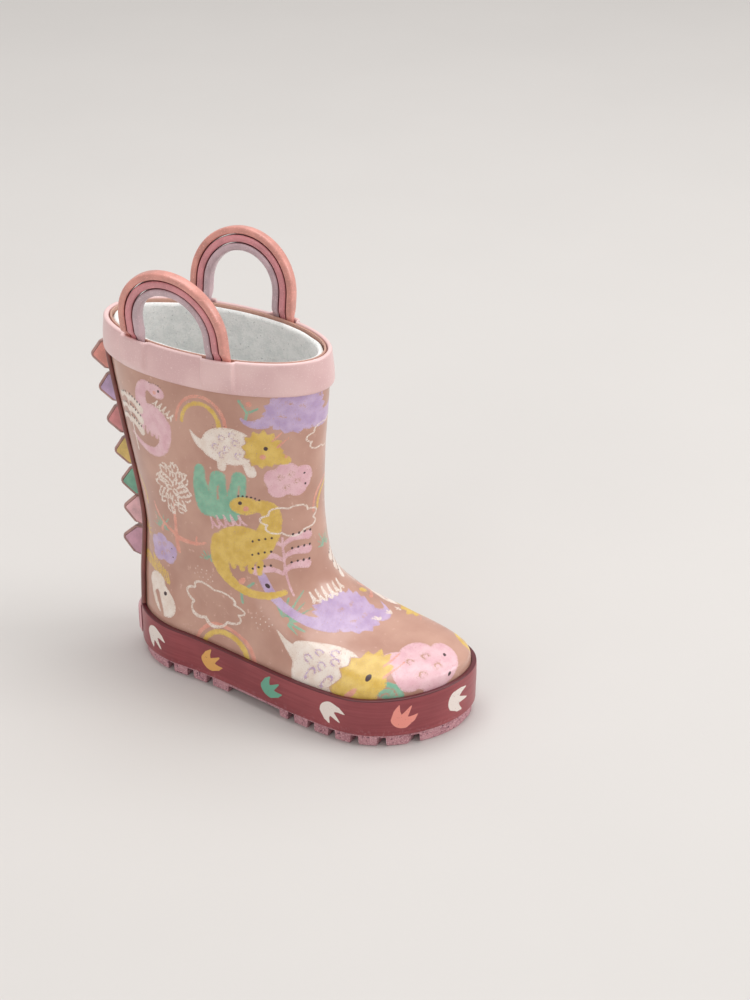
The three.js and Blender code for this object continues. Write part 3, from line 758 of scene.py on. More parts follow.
# What is printed on the outer side, from the mouth down: motif, angle in degrees from the toe, level.
OUTER_PRINT = (
    (long_neck, -112, 0.845, dict(body="blush", mane="cream", mirror=-1, turn=-4, size=0.82)),
    (leaf_stack, -133, 0.83, dict(size=0.9)),
    (rainbow, -81, 0.885, dict(turn=-6)),
    (twig, -57, 0.897, dict(turn=-10)),
    (crumbs, -74, 0.862, dict(size=0.9)),
    (plated, -27, 0.9, dict(ink="lilac", mane="lilac", size=1.1, mirror=-1, turn=4)),
    (horned, -62, 0.832, dict(turn=-2)),
    (bush, -74, 0.722, dict(size=1.12)),
    (scribble_tree, -105, 0.66, dict(turn=4)),
    (puff, -31, 0.768, {}),
    (drawn_cloud, -30, 0.668, dict(size=0.85, turn=4)),
    (long_neck, -63, 0.585, dict(size=1.12)),
    (branch, -40, 0.565, dict(turn=4)),
    (sprigs, -122, 0.52, dict(size=0.7, turn=20)),
    (sprigs, -88, 0.5, dict(size=0.5, turn=20)),
    (puff, -128, 0.42, dict(ink="lilac", size=0.85, turn=8)),
    (rainbow, -150, 0.6, dict(top="mustard", under="coral", size=0.8)),
    (sprigs, -150, 0.43, dict(ink="mustard", size=0.6)),
    (crumbs, -98, 0.42, dict(ink="cream")),
    (twig, -75, 0.425, dict(ink="mint", berry="coral", size=1.1, turn=20)),
    (half_moon, -150, 0.3, dict(ink="mustard", size=0.7)),
    (drawn_cloud, -104, 0.262, dict(turn=3, size=1.05)),
    (peeping_head, -137, 0.16, dict(size=1.1)),
    (rainbow, -103, 0.07, dict(turn=-14, size=1.45, squash=0.75)),
    (sprigs, -58, 0.36, dict(turn=-30)),
    (plated, -13, 0.385, dict(turn=-14, size=1.25)),
    (horned, -60, 0.135, dict(turn=-12, size=1.3)),
    (half_moon, -41, 0.03, dict(turn=-20)),
    (puff, -20, 0.14, dict(turn=-20, size=1.6)),
    (tracks, 17, 0.31, dict(turn=-40)),
    (crumbs, -78, 0.3, dict(ink="cream", turn=-20)),
)

# And on the inner side.
INNER_PRINT = (
    (horned, 112, 0.86, dict(mirror=-1, turn=2, body="blush", face="mustard", size=0.95)),
    (rainbow, 152, 0.87, dict(turn=6)),
    (long_neck, 72, 0.82, dict(body="lilac", mane="cream", mirror=-1, size=0.9)),
    (puff, 36, 0.83, dict(ink="cream")),
    (leaf_stack, 136, 0.79, dict(mirror=-1, size=0.8)),
    (branch, 95, 0.74, dict(ink="cream", size=0.9)),
    (bush, 128, 0.68, {}),
    (drawn_cloud, 8, 0.85, dict(size=0.8)),
    (twig, 52, 0.71, dict(ink="mustard")),
    (crumbs, 24, 0.76, dict(ink="mint")),
    (long_neck, 108, 0.57, dict(size=1.1)),
    (scribble_tree, 60, 0.63, dict(trunk="mustard")),
    (twig, 152, 0.6, dict(ink="mint")),
    (rainbow, 14, 0.72, dict(size=0.9)),
    (sprigs, 4, 0.58, dict(size=0.7)),
    (leaf_stack, 32, 0.5, dict(mirror=-1, size=0.9)),
    (puff, 140, 0.48, dict(ink="lilac", size=0.9)),
    (crumbs, 84, 0.5, dict(ink="cream")),
    (drawn_cloud, 74, 0.4, dict(turn=14, size=0.95)),
    (half_moon, 102, 0.39, dict(ink="mint", size=0.8)),
    (peeping_head, 136, 0.3, dict(mirror=-1, ink="blush")),
    (sprigs, 110, 0.27, dict(size=0.9)),
    (twig, 44, 0.33, dict(ink="coral", berry="mustard", turn=20, size=1.2)),
    (plated, 96, 0.15, dict(turn=12)),
    (rainbow, 132, 0.08, dict(turn=12, size=1.05, squash=0.9)),
    (horned, 62, 0.17, dict(mirror=-1, turn=16, size=1.05)),
    (half_moon, 24, 0.08, dict(turn=10, ink="mustard")),
    (crumbs, 42, 0.07, dict(ink="mint")),
)
for motif, degrees, level, options in OUTER_PRINT + INNER_PRINT:
    print_motif(motif, degrees, level, **options)


def shell_points():
    """Rings up the outside, over the rounded mouth and down the inside to the feather edge, which join
    into one closed skin."""
    below = np.linspace(feather_level, 0, hidden_rows + 1)[:-1]
    above = np.linspace(wrap_level[-1], 1, hidden_rows + 1)[1:]
    inside = np.linspace(1, feather_level, inside_rows)
    levels = np.concatenate([below, wrap_level, above, inside])
    outside_rows = len(levels) - inside_rows
    outs = np.concatenate([np.zeros(outside_rows), np.full(inside_rows, -shell_wall)])
    outs[outside_rows - 1] = -mouth_round
    outs[outside_rows] = -shell_wall + mouth_round
    return shell_out(levels[:, None], wrap_angle[None, :], outs[:, None])


shell_grid = shell_points()
shell_numbers = {}
for ink, edges in print_edges.items():
    whole = np.full(shell_grid.shape[:2], far_off)
    whole[hidden_rows:hidden_rows + wrap_rows] = edges
    shell_numbers["ink_" + ink] = whole
upper_mesh = grid_mesh("printed_upper", shell_grid, wrap_rows=True, numbers=shell_numbers)


def printed_rubber():
    """Dusty rubber whose inks lie over each other in the order of printing, each with a dry, chalky edge."""
    rubber = Finish("printed_rubber", roughness=0.36, coat=0.35, coat_roughness=0.12)
    cloud = rubber.noise(26, detail=4)
    tone = cloud.ramp(0.3, 0.7).blend(colour(186, 139, 122), colour(206, 162, 144))
    tone = rubber.noise(3.2, detail=4, rough=0.65).ramp(0.62, 0.72).blend(tone, colour(218, 178, 162))
    wander = (rubber.noise(2.6, detail=3) - 0.5) * 0.9
    chalk = rubber.noise(0.55, detail=3, rough=0.7)
    patchy = rubber.noise(5, detail=2)
    tints = {
        "mint": ((120, 176, 150), (146, 196, 168)), "lilac": ((188, 160, 200), (208, 184, 216)),
        "blush": ((226, 176, 186), (238, 198, 204)), "mustard": ((216, 176, 78), (232, 198, 104)),
        "coral": ((222, 146, 128), (236, 170, 150)), "cream": ((236, 218, 204), (246, 234, 224)),
        "dark": ((58, 40, 44), (78, 56, 58)),
    }
    cover = None
    for ink in INKS:
        depth, pale = tints[ink]
        edge = rubber.painted("ink_" + ink)
        loose = edge + wander * (0.35 if ink in ("dark", "cream") else 1.0)
        mask = loose.ramp(0.16, -0.16)
        if ink != "dark":
            worn = chalk.ramp(0.30, 0.40)
            rim = chalk.ramp(0.36, 0.52).most(loose.ramp(-0.2, -0.9))
            mask = mask * worn * rim
        ink_tone = (patchy * 0.7 + chalk * 0.3).ramp(0.32, 0.66).blend(colour(*depth), colour(*pale))
        tone = mask.blend(tone, ink_tone)
        cover = mask if cover is None else cover.most(mask)
    rubber.put("Base Color", tone)
    rubber.put("Roughness", cover * 0.07 + cloud * 0.10 + 0.27)
    rubber.emboss(cover * 0.5 + rubber.noise(14, detail=2) * 0.9, 0.10, 0.7)
    return rubber


upper_finish = printed_rubber()
add_piece("printed_upper", upper_mesh, upper_finish, ["upper_shell"])
stiffener_finish = pressed_sheet("stiffener_sheet", colour(222, 206, 174), colour(196, 178, 144), 0.7, 0.1)
dress(stiffener_finish, "toe_puff", "heel_counter")


# ---- Lining and insole sock --------------------------------------------------------------------------
# A tube of thick marled grey-white knit glued inside the shell, soft and slightly uneven, and a padded
# sock of the same knit over foam, which lies loose on the insole board.

lining_gap, lining_wall = 3.2, 1.2
lining_low, lining_top, lining_edge, lining_rows = -0.082, 0.99, 1.75, 90
even_angle = np.linspace(-math.pi, math.pi, 361)[:-1]


def lumps(points, grain, height, seed):
    """A gentle unevenness for cloth: a few sine waves of about `grain` millimetres, in many directions."""
    rng = np.random.default_rng(seed)
    total = np.zeros(points.shape[:-1])
    for _ in range(9):
        way = rng.normal(size=3)
        way *= 2 * math.pi / (grain * rng.uniform(0.7, 1.6) * np.linalg.norm(way))
        total += np.sin(points @ way + rng.uniform(0, 2 * math.pi))
    return total / 9 * height


def lining_points():
    """Rings up the side that faces the shell and down the side that faces the foot. Past the stiffeners the
    knit swells out to the shell, and its top edge is turned over, round and soft."""
    rise = np.linspace(lining_low, lining_top, lining_rows)
    mouth = smooth((rise - 0.55) / 0.3)
    back_face = -lining_gap + (lining_gap - lining_edge) * mouth
    turn = np.linspace(0.2, math.pi - 0.2, 7)
    top = lining_top + 0.0068 * np.sin(turn)
    over = -lining_edge - (lining_gap + lining_wall - lining_edge) * (1 - np.cos(turn)) / 2
    levels = np.concatenate([rise, top, rise[::-1]])
    outs = np.concatenate([back_face, over, np.full(lining_rows, -lining_gap - lining_wall)])
    points = shell_out(levels[:, None], even_angle[None, :], outs[:, None])
    waves = lumps(points, 11, 0.5, 7)
    waves[:lining_rows] *= 0.2
    return shell_out(levels[:, None], even_angle[None, :], outs[:, None] + waves - 0.1)


def marled_knit(name, light, mid, fleck):
    """Knitted cloth: rows of small loops in mixed pale yarns, with a soft nap and scattered darker flecks."""
    knit = Finish(name, roughness=0.95, sheen=0.25, specular=0.15)
    yarn = knit.noise(1.3, detail=3, rough=0.7)
    blotch = knit.noise(4.5, detail=3)
    tone = (yarn * 0.45 + blotch * 0.55).ramp(0.38, 0.60).blend(mid, light)
    tone = knit.noise(1.1, detail=2).ramp(0.64, 0.72).blend(tone, fleck)
    tone = knit.noise(2.4, detail=2, stretch=(1, 1, 2.2)).ramp(0.64, 0.72).blend(tone, colour(246, 245, 243))
    knit.put("Base Color", tone)
    loops = knit.cells(0.95)
    knit.emboss(loops * -0.8 + yarn * 0.7, 0.35, 0.7)
    return knit


lining_finish = marled_knit("marled_knit", colour(253, 254, 252), colour(238, 241, 239),
                            colour(212, 215, 214))
lining_mesh = grid_mesh("knit_lining", lining_points(), wrap_rows=True)
add_piece("knit_lining", lining_mesh, lining_finish, ["lining"])

sock_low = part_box("insole_sock")[0][2] / MM
sock_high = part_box("insole_sock")[1][2] / MM
sock_inset, crown_rows, bottom_rows = 5.2, 26, 8


def sock_points():
    """Copies of the foot's plan, shrunk towards its middle line, that run over a crowned top with a sewn
    channel near the edge, round the side and back under a flat bottom."""
    plan = shell_out(plan_level, even_angle, -sock_inset)
    spine_y = np.clip(plan[:, 1], plan[:, 1].min() + 22, plan[:, 1].max() - 20)
    spine = np.stack([np.interp(spine_y, [plan[:, 1].min(), plan[:, 1].max()],
                                [plan[:, 0].mean() + 2, plan[:, 0].mean()]), spine_y], -1)
    share = np.concatenate([np.linspace(0.02, 0.9, crown_rows), [0.93, 0.96, 0.985, 1.0, 1.0, 0.985],
                            np.linspace(0.9, 0.02, bottom_rows)])
    thick = sock_high - sock_low
    crown = thick * (1.0 - 0.10 * np.linspace(0, 1, crown_rows) ** 2)
    crown -= 0.5 * np.exp(-((share[:crown_rows] - 0.84) / 0.018) ** 2)
    side = thick * np.array([0.86, 0.78, 0.66, 0.5, 0.3, 0.08])
    lift = np.concatenate([crown, side, np.zeros(bottom_rows)])
    xy = spine[None] + (plan[None, :, :2] - spine[None]) * share[:, None, None]
    z = np.broadcast_to((sock_low + lift)[:, None], xy.shape[:2]).copy()
    points = np.concatenate([xy, z[..., None]], -1)
    points[:crown_rows, :, 2] += np.minimum(lumps(points[:crown_rows], 16, 0.3, 11) - 0.15, 0)
    return points


sock_mesh = grid_mesh("padded_sock", sock_points(), ends=True, sharp=60)
sock_finish = marled_knit("sock_knit", colour(214, 212, 210), colour(186, 184, 184), colour(160, 158, 160))
padded_sock = add_piece("padded_sock", sock_mesh, sock_finish, ["insole_sock"])


# ---- Foxing band and heel label ----------------------------------------------------------------------
# A strip of dark rose rubber wrapped round the shell's lower margin, with three-toed footprints printed round
# it. Its thin top edge is darker, partly a dark line on the rubber and partly painted shade from the groove
# between band and shell. A pink rubber patch is cemented over its join at the heel.

band_rise = band_top - feather_low
level_per_mm = -feather_level / band_rise
band_columns = 640
band_profile = np.array(
    [(gap, 0), (1.7, 0), (2.2, 0.12), (2.42, 0.4), (band_reach, 0.8)]
    + [(band_reach, height) for height in np.linspace(1.5, band_rise - 1.3, 26)]
    + [(band_reach, band_rise - 0.95), (2.36, band_rise - 0.84), (2.34, band_rise - 0.72),
       (2.46, band_rise - 0.6), (2.46, band_rise - 0.4), (2.34, band_rise - 0.12),
       (2.0, band_rise), (gap, band_rise)])
band_middle_row = 14
band_turns = -math.pi + 2 * math.pi * even_steps(
    shell_point(plan_level, turn_samples), band_columns + 1)[:-1]
band_levels = feather_level + band_profile[:, 1] * level_per_mm
band_grid = shell_out(band_levels[:, None], band_turns[None, :], band_profile[:, :1])
band_line = band_grid[band_middle_row]
band_steps = np.linalg.norm(np.roll(band_line, -1, axis=0) - band_line, axis=1)
band_length = np.concatenate([[0], np.cumsum(band_steps)])


def footprint(u, v):
    """A three-toed footprint: a small round heel pad and three pointed toes that spread upwards."""
    pad = oval(u, v, 0, -2.6, 4.9, 3.5)
    toes = joined(*[stroke(u, v, [(x * 0.4, -2.2), (x * 0.8, 1.0), (x, y)], 6.0, 0.7)
                    for x, y in ((-5.4, 4.9), (0.4, 6.9), (5.8, 4.1))])
    return joined(pad, toes)


TRACK_TINTS = {"white": (240, 228, 220), "ochre": (230, 172, 92), "teal": (104, 172, 146),
               "salmon": (242, 150, 136)}
outer_prints = ((21, "white", -140), (57, "ochre", -48), (95, "teal", -46), (131, "white", -132),
                (163.5, "salmon", -32), (179, "white", -100))
inner_prints = ((20, "teal", 44), (54, "salmon", 136), (90, "white", 48), (126, "ochre", 130),
                (158, "teal", 40))
band_ahead = heel_back - band_line[:, 1]
print_middle, print_reach = 0.49, 16
print_spots = []
for side, spots in ((-1, outer_prints), (1, inner_prints)):
    there = np.where(np.sign(np.sin(band_turns)) == side, band_ahead, -999)
    for ahead, ink, turn in spots:
        print_spots.append((int(np.argmin(np.abs(there - ahead))), ink, turn))


def band_prints():
    """For each ink, the distance from the footprints in that ink, measured along the band and up it."""
    edges = {ink: np.full(band_grid.shape[:2], far_off) for ink in TRACK_TINTS}
    whole = band_length[-1]
    for column, ink, turn in print_spots:
        u = (band_length[:-1] - band_length[column] + whole / 2) % whole - whole / 2
        v = band_profile[:, 1] - band_rise * print_middle
        c, s = math.cos(math.radians(turn)), math.sin(math.radians(turn))
        across, along = u[None, :] + 0 * v[:, None], v[:, None] + 0 * u[None, :]
        near = (np.abs(across) < print_reach) & (band_profile[:, :1] > 2.0)
        p, q = across[near], along[near]
        edges[ink][near] = np.minimum(edges[ink][near], footprint(p * c + q * s, q * c - p * s))
    return {"track_" + ink: edge for ink, edge in edges.items()}


band_numbers = band_prints()
band_numbers["from_top"] = np.broadcast_to(band_rise - band_profile[:, 1:], band_grid.shape[:2]).copy()
band_mesh = grid_mesh("rose_band", band_grid, wrap_rows=True, numbers=band_numbers, sharp=50)


def band_rubber():
    """Satin dark rose rubber with a faint lengthwise draw and dusty scuffs low down. Its top edge is darker,
    partly a dark line on the rubber and partly painted shade from the groove above it.
    """
    rubber = Finish("rose_band_rubber", roughness=0.4, coat=0.25, coat_roughness=0.2)
    cloud = rubber.noise(30, detail=3)
    drawn = rubber.noise(2.0, detail=2, stretch=(0.08, 0.08, 1.6))
    tone = (cloud * 0.6 + drawn * 0.4).ramp(0.36, 0.64).blend(colour(136, 50, 58), colour(156, 66, 72))
    height = rubber.painted("from_top")
    # Partly painted shade: the top 0.8 mm turns dark maroon, a dark line plus the shade of the groove above.
    tone = height.ramp(0.95, 0.8).blend(tone, colour(96, 34, 42))
    scuff = height.ramp(16, 21) * rubber.noise(1.6, detail=5, rough=0.7).ramp(0.52, 0.66)
    tone = (scuff * 0.45).blend(tone, colour(188, 132, 138))
    cover = None
    for ink, tint in TRACK_TINTS.items():
        loose = rubber.painted("track_" + ink) + (rubber.noise(2.2, detail=2) - 0.5) * 0.35
        mask = loose.ramp(0.14, -0.14)
        tone = (mask * rubber.noise(0.7, detail=3).ramp(0.24, 0.36)).blend(tone, colour(*tint))
        cover = mask if cover is None else cover.most(mask)
    rubber.put("Base Color", tone)
    rubber.put("Roughness", cloud * 0.12 + scuff * 0.25 + 0.32)
    rubber.emboss(cover * 0.4 + drawn * 0.5 + cloud, 0.09, 0.7)
    return rubber


add_piece("rose_band", band_mesh, band_rubber(), ["foxing_band"])

label_half, label_middle = 0.5, math.pi - 0.16
label_low, label_high = -0.103, -0.017
label_columns, label_rows = 132, 60
label_back, label_face, label_relief, label_edge_drop = 2.75, 3.7, 0.35, 0.55
label_corner, frame_inset, frame_half_width = 2, 1.9, 0.45


def label_points():
    """The patch's front is a sheet over the band with rounded edges; just inside them runs a raised frame,
    and a small footprint stands up in the middle. Each row goes across the front and back behind it."""
    across = np.linspace(-1, 1, label_columns)
    up = np.linspace(0, 1, label_rows)
    angle = label_middle + across * label_half
    tall = (label_high - label_low) / level_per_mm
    front = shell_out(plan_level, angle, 4.0)
    wide = np.linalg.norm(np.diff(front, axis=0), axis=1).sum()
    u = across[None, :] * wide / 2 + 0 * up[:, None]
    v = (up[:, None] - 0.5) * tall + 0 * across[None, :]
    edge = np.minimum(wide / 2 - np.abs(u), tall / 2 - np.abs(v))
    past_side = np.maximum(np.abs(u) - wide / 2 + label_corner, 0)
    past_end = np.maximum(np.abs(v) - tall / 2 + label_corner, 0)
    corner = np.hypot(past_side, past_end)
    edge = np.where(corner > 0, np.minimum(edge, label_corner - corner), edge)
    frame_line = np.abs(edge - frame_inset) - frame_half_width
    emblem = np.minimum(footprint(u * 0.95, v * 0.95), dots(u, v, [(-11, 0), (11, 0)], 2.2))
    raised = np.maximum(smooth((0.25 - frame_line) / 0.4), smooth((0.2 - emblem) / 0.4))
    out = label_face + label_relief * raised - label_edge_drop * (1 - smooth(edge / 0.7))
    levels = label_low + (label_high - label_low) * up[:, None]
    top = shell_out(levels, angle[None, :], out)
    under = shell_out(levels, angle[None, ::-1], np.full_like(out, label_back))
    numbers = {"raised": np.hstack([raised, 0 * raised]), "edge_in": np.hstack([edge, 0 * edge + 1])}
    return np.concatenate([top, under], 1), numbers


label_grid, label_numbers = label_points()
label_mesh = grid_mesh("heel_patch", label_grid, ends=True, numbers=label_numbers, sharp=50)
label_finish = Finish("label_rubber", roughness=0.5, coat=0.1)
label_tone = label_finish.noise(6).ramp(0.3, 0.7).blend(colour(222, 160, 168), colour(234, 178, 184))
label_tone = label_finish.painted("raised").ramp(0.3, 0.7).blend(label_tone, colour(176, 84, 98))
label_tone = label_finish.painted("edge_in").ramp(0.6, 0.1).blend(label_tone, colour(240, 196, 200))
label_finish.put("Base Color", label_tone)
label_finish.emboss(label_finish.noise(0.8), 0.05)
add_piece("heel_patch", label_mesh, label_finish, ["heel_label"])


# ---- Back strip, piping and fins ---------------------------------------------------------------------
# A glossy brown rubber strip covers the shell's back seam, with a thin cord along each edge. Seven
# moulded fins stand on it in a row, each a brown-edged core with a coloured face let into both sides.

strip_margin = 0.8
levels_up = np.linspace(0, 1, 2001)
backs_up = ring_at(levels_up)[:, 3]


def level_at_back(up):
    return float(np.interp(up, backs_up, levels_up))


strip_low, strip_top = level_at_back(band_top + strip_margin), level_at_back(collar_foot - strip_margin)
strip_levels = np.linspace(strip_low, strip_top, 130)
strip_half_width, strip_wall, strip_crown = 9.5, 2.0, 0.28
piping_width, piping_middle, piping_round = 1.7, 0.95, 1.2


def side_angle(across):
    return math.asin(across / tube_half)


def strip_points():
    """Each row crosses the strip's low crown with rounded edges and comes back along its underside."""
    edge = np.array([-1, -0.992, -0.97, -0.93])
    across = np.concatenate([edge, np.linspace(-0.86, 0.86, 23), -edge[::-1]])
    drop = np.array([0.75, 0.4, 0.16, 0.05])
    crown = np.concatenate([-drop, strip_crown * (1 - np.linspace(-1, 1, 23) ** 2), -drop[::-1]])
    angle = math.pi + across * side_angle(strip_half_width)
    under = angle[::-1]
    angles = np.concatenate([angle, under])
    outs = np.concatenate([gap + strip_wall + crown, np.full(len(under), gap - 0.05)])
    return shell_out(strip_levels[:, None], angles[None, :], outs[None, :])


strip_finish = Finish("strip_rubber", roughness=0.3, coat=0.5, coat_roughness=0.12)
strip_cloud = strip_finish.noise(18, detail=3)
strip_tone = strip_cloud.ramp(0.3, 0.7).blend(colour(126, 74, 64), colour(152, 96, 80))
strip_tone = strip_finish.noise(0.9, detail=3).ramp(0.62, 0.74).blend(strip_tone, colour(166, 112, 96))
strip_finish.put("Base Color", strip_tone)
strip_finish.put("Roughness", strip_finish.noise(4) * 0.2 + 0.2)
strip_finish.emboss(strip_cloud + strip_finish.noise(0.8) * 0.2, 0.12)
strip_mesh = grid_mesh("spine_strip", strip_points(), ends=True, sharp=50)
add_piece("spine_strip", strip_mesh, strip_finish, ["back_strip"])


def moulded_rubber(name, tint, depth=0.86, gloss=0.35, roughness=0.42):
    """Plain moulded rubber in one colour, with cloudy shading, paler flecks and a faint skin texture."""
    rubber = Finish(name, roughness=roughness, coat=gloss, coat_roughness=0.2)
    dark = tuple(channel * depth for channel in tint)
    pale = tuple(min(255, channel * 1.05 + 4) for channel in tint)
    cloud = rubber.noise(7, detail=4)
    tone = cloud.ramp(0.3, 0.7).blend(colour(*dark), colour(*tint))
    tone = rubber.noise(0.8, detail=3, rough=0.7).ramp(0.58, 0.72).blend(tone, colour(*pale))
    rubber.put("Base Color", tone)
    rubber.put("Roughness", cloud * 0.16 + roughness - 0.08)
    rubber.emboss(cloud * 0.6 + rubber.noise(0.7) * 0.3, 0.1)
    return rubber


def piping_points(side):
    """A cord with a round back, laid along the strip's edge."""
    near, far = side_angle(strip_half_width + gap), side_angle(strip_half_width + gap + piping_width)
    turn = np.linspace(0, 2 * math.pi, 17)[:-1]
    angle = math.pi + side * ((near + far) / 2 + (far - near) / 2 * np.cos(turn))
    outs = gap + np.clip(piping_middle + piping_round * np.sin(turn), 0.0, None)
    return shell_out(strip_levels[:, None], angle[None, :], outs[None, :])


# Painted shade: the outer cord's dark brown tint stands for the shadow along the strip's outer edge.
for name, side, slot, tint in (("inner", -1, "piping_rubber", (222, 156, 138)),
                               ("outer", 1, "edge_rubber", (140, 80, 74))):
    mesh = grid_mesh(f"piping_{name}", piping_points(side), ends=True, sharp=60)
    piping_finish = moulded_rubber(f"piping_{name}_rubber", tint)
    add_piece(f"piping_{name}", mesh, piping_finish, [f"back_piping_{name}"])

fin_count, fin_lowest, fin_collar_gap, fin_stand_off = 7, 44.5, 0.7, 2.8
fin_highest = collar_foot - fin_collar_gap
fin_pitch = (fin_highest - fin_lowest) / fin_count
fin_reach, fin_thickness, fin_border, fin_tip_radius, fin_notch = 13.6, 5, 1.6, 2.8, 6.2
fin_tip_share, fin_taper = 0.48, 0.75
fin_tip = np.array([fin_reach - fin_tip_radius, fin_pitch * fin_tip_share])


def fin_outline(inset):
    """The fin's edge from its root: out beside the lower neighbour, up a straight flank, round the tip,
    down the upper flank and back. The flanks shrink by `inset`, and the sides next to the neighbours by
    three eighths of it."""
    seam, reach = 0.375 * inset, fin_tip_radius - inset
    corners, ways = [], []
    for sign, notch_up in ((1, gap), (-1, fin_pitch - gap)):
        away = fin_tip - (fin_notch, notch_up)
        heading = math.atan2(away[1], away[0]) - sign * math.asin(fin_tip_radius / math.hypot(*away))
        normal = sign * np.array([math.sin(heading), -math.cos(heading)])
        up = notch_up + sign * (seam + fin_taper)
        corners.append((fin_tip[0] + (reach - (up - fin_tip[1]) * normal[1]) / normal[0], up))
        ways.append(math.degrees(math.atan2(normal[1], normal[0])))
    low, high = (0, gap + seam), (0, fin_pitch - gap - seam)
    round_end = arc(*fin_tip, reach, ways[0], ways[1], steps=17)
    sides = [np.linspace(*ends, count)[:-1] for ends, count in (
        ((low, corners[0]), 9), ((corners[0], round_end[0]), 7), ((round_end[-1], corners[1]), 7),
        ((corners[1], high), 9), ((high, low), 9))]
    return np.vstack([sides[0], sides[1], round_end[:-1], *sides[2:]])


def fin_place(number):
    """Where a fin stands: its foot, and its own ways sideways, outwards and up."""
    foot = level_at_back(fin_highest - (number + 1) * fin_pitch)
    head = level_at_back(fin_highest - number * fin_pitch)
    base = shell_out(foot, math.pi, fin_stand_off)
    up = shell_out(head, math.pi, fin_stand_off) - base
    up /= np.linalg.norm(up)
    sideways = np.cross([0, -1, 0], up)
    sideways *= -1 / np.linalg.norm(sideways)
    return base, sideways, np.cross(up, sideways), up


def fin_solid(rings_of, place):
    """Outlines stacked through the fin's thickness, put where the fin stands."""
    base, sideways, outward, up = place
    layers = []
    for outline_points, across in rings_of:
        layers.append(base + outline_points[:, :1] * outward + outline_points[:, 1:] * up + across * sideways)
    return np.array(layers)


def core_layers():
    half = fin_thickness / 2
    steps = [(1.65, half - 1.15), (1.6, half - 0.2), (1.4, half), (0.7, half), (0.3, half - 0.22),
             (0.06, half - 0.6), (0.0, half - 1.1)]
    steps = steps + [(inset, -across) for inset, across in reversed(steps)]
    return [(fin_outline(inset), across) for inset, across in steps]


def face_layers(side):
    """A plate that fills the pocket and swells gently above the rim: its outline shrinks to its middle."""
    half = fin_thickness / 2
    edge = fin_outline(fin_border + 0.12)
    middle = edge.mean(0)
    steps = [(1.0, -0.95), (1.0, -0.15), (0.985, 0.0), (0.93, 0.14), (0.8, 0.26), (0.6, 0.36),
             (0.35, 0.42), (0.1, 0.44)]
    return [(middle + (edge - middle) * scale, side * (half + lift)) for scale, lift in steps]


fin_edge_finish = moulded_rubber("fin_edge_rubber", (186, 142, 134))
FIN_TINTS = (("coral", (232, 150, 136)), ("lilac", (200, 168, 204)), ("rose", (224, 142, 142)),
             ("yellow", (232, 198, 112)), ("green", (122, 180, 152)), ("pale_pink", (240, 188, 192)),
             ("mauve", (216, 164, 182)))
for number, (tint_name, tint) in enumerate(FIN_TINTS):
    label = f"fin_{number + 1}"
    place = fin_place(number)
    core = grid_mesh(f"{label}_edge", fin_solid(core_layers(), place), ends=True, sharp=35)
    add_piece(f"{label}_edge", core, fin_edge_finish, [f"{label}_core"])
    face_finish = moulded_rubber(f"fin_{tint_name}_rubber", tint)
    for side_name, side in (("outer", -1), ("inner", 1)):
        name = f"{label}_plate_{side_name}"
        mesh = grid_mesh(name, fin_solid(face_layers(side), place), ends=True, sharp=40)
        add_piece(name, mesh, face_finish, [f"{label}_face_{side_name}"])


# ---- Collar, anchors and pull handles ----------------------------------------------------------------
# A pale pink band of soft rubber goes round the mouth and bulges over the handles' ends. Each handle is
# three round-edged rubber ribs side by side, like a rainbow, with flat ends glued under the collar.

rib_width, rib_depth, rib_groove, rib_count = 3.7, 5.0, 0.3, 3
rib_pitch = rib_width + rib_groove
handle_centre, handle_half_span, handle_height, handle_side, handle_lean = 40.2, 29.3, 40, 28.3, 0.14
leg_middle = handle_half_span - rib_width / 2 - rib_pitch
leg_half = rib_count * rib_pitch / 2


def mouth_angle(ahead):
    return np.arccos(np.clip(2 * (ahead - mouth_back) / mouth_length - 1, -1, 1))


leg_angles = mouth_angle(np.array([handle_centre + leg_middle, handle_centre - leg_middle]))
collar_columns, pocket_swell, lap_thick, back_radius = 560, 2.3, 0.55, 25
collar_turns = -math.pi + 2 * math.pi * even_steps(shell_point(0.97, turn_samples), collar_columns + 1)[:-1]


def pocket(angle, flat=0.9, fall=1.9):
    """How far the collar stands out over the handle legs: full over each leg, gone a little past it."""
    folded = np.abs(angle)
    rise = [1 - smooth((np.abs(folded - leg) * mouth_length / 2 * math.sin(leg) - leg_half - flat) / fall)
            for leg in leg_angles]
    return pocket_swell * np.maximum(*rise)


def collar_points():
    """The collar's section, a flat strip with round edges, carried round the mouth. Its free end laps over
    its start at the back, and it hugs the shell a little more at its foot."""
    mm = (1 - level_of_collar) / collar_height
    foot = [(0.0, 0.4), (0.25, 0.08), (0.7, -0.05), (1.25, -0.02), (1.7, 0.2), (2.0, 0.6), (2.1, 1.2)]
    front = [(2.1, height) for height in np.linspace(2, 14, 13)]
    top = [(2.12, 14.9), (2.0, 15.5), (1.7, 15.95), (1.2, 16.2), (0.7, 16.2), (0.25, 16.0), (0.0, 15.6)]
    section = np.array(foot + front + top + [(0.0, height) for height in (12, 8, 4)])
    levels = level_of_collar + section[:, 1] * mm
    bulge = pocket(collar_turns)
    settle = smooth((section[:, 1] + 1) / 6)[:, None]
    from_back = (np.abs(collar_turns) - math.pi) * np.sign(collar_turns) * back_radius
    lap = lap_thick * smooth((from_back + 3.2) / 0.5) * (1 - smooth((from_back - 6) / 30))
    lap = lap * (section[:, :1] > 0.9)
    outs = gap + section[:, :1] + bulge[None, :] * settle + lap
    up_most = np.minimum(levels, 1.0)
    points = shell_out(up_most[:, None], collar_turns[None, :], outs)
    points[..., 2] += (levels - up_most)[:, None] / mm
    from_foot = np.broadcast_to(section[:, 1:], points.shape[:2]).copy()
    return points, {"from_foot": from_foot}


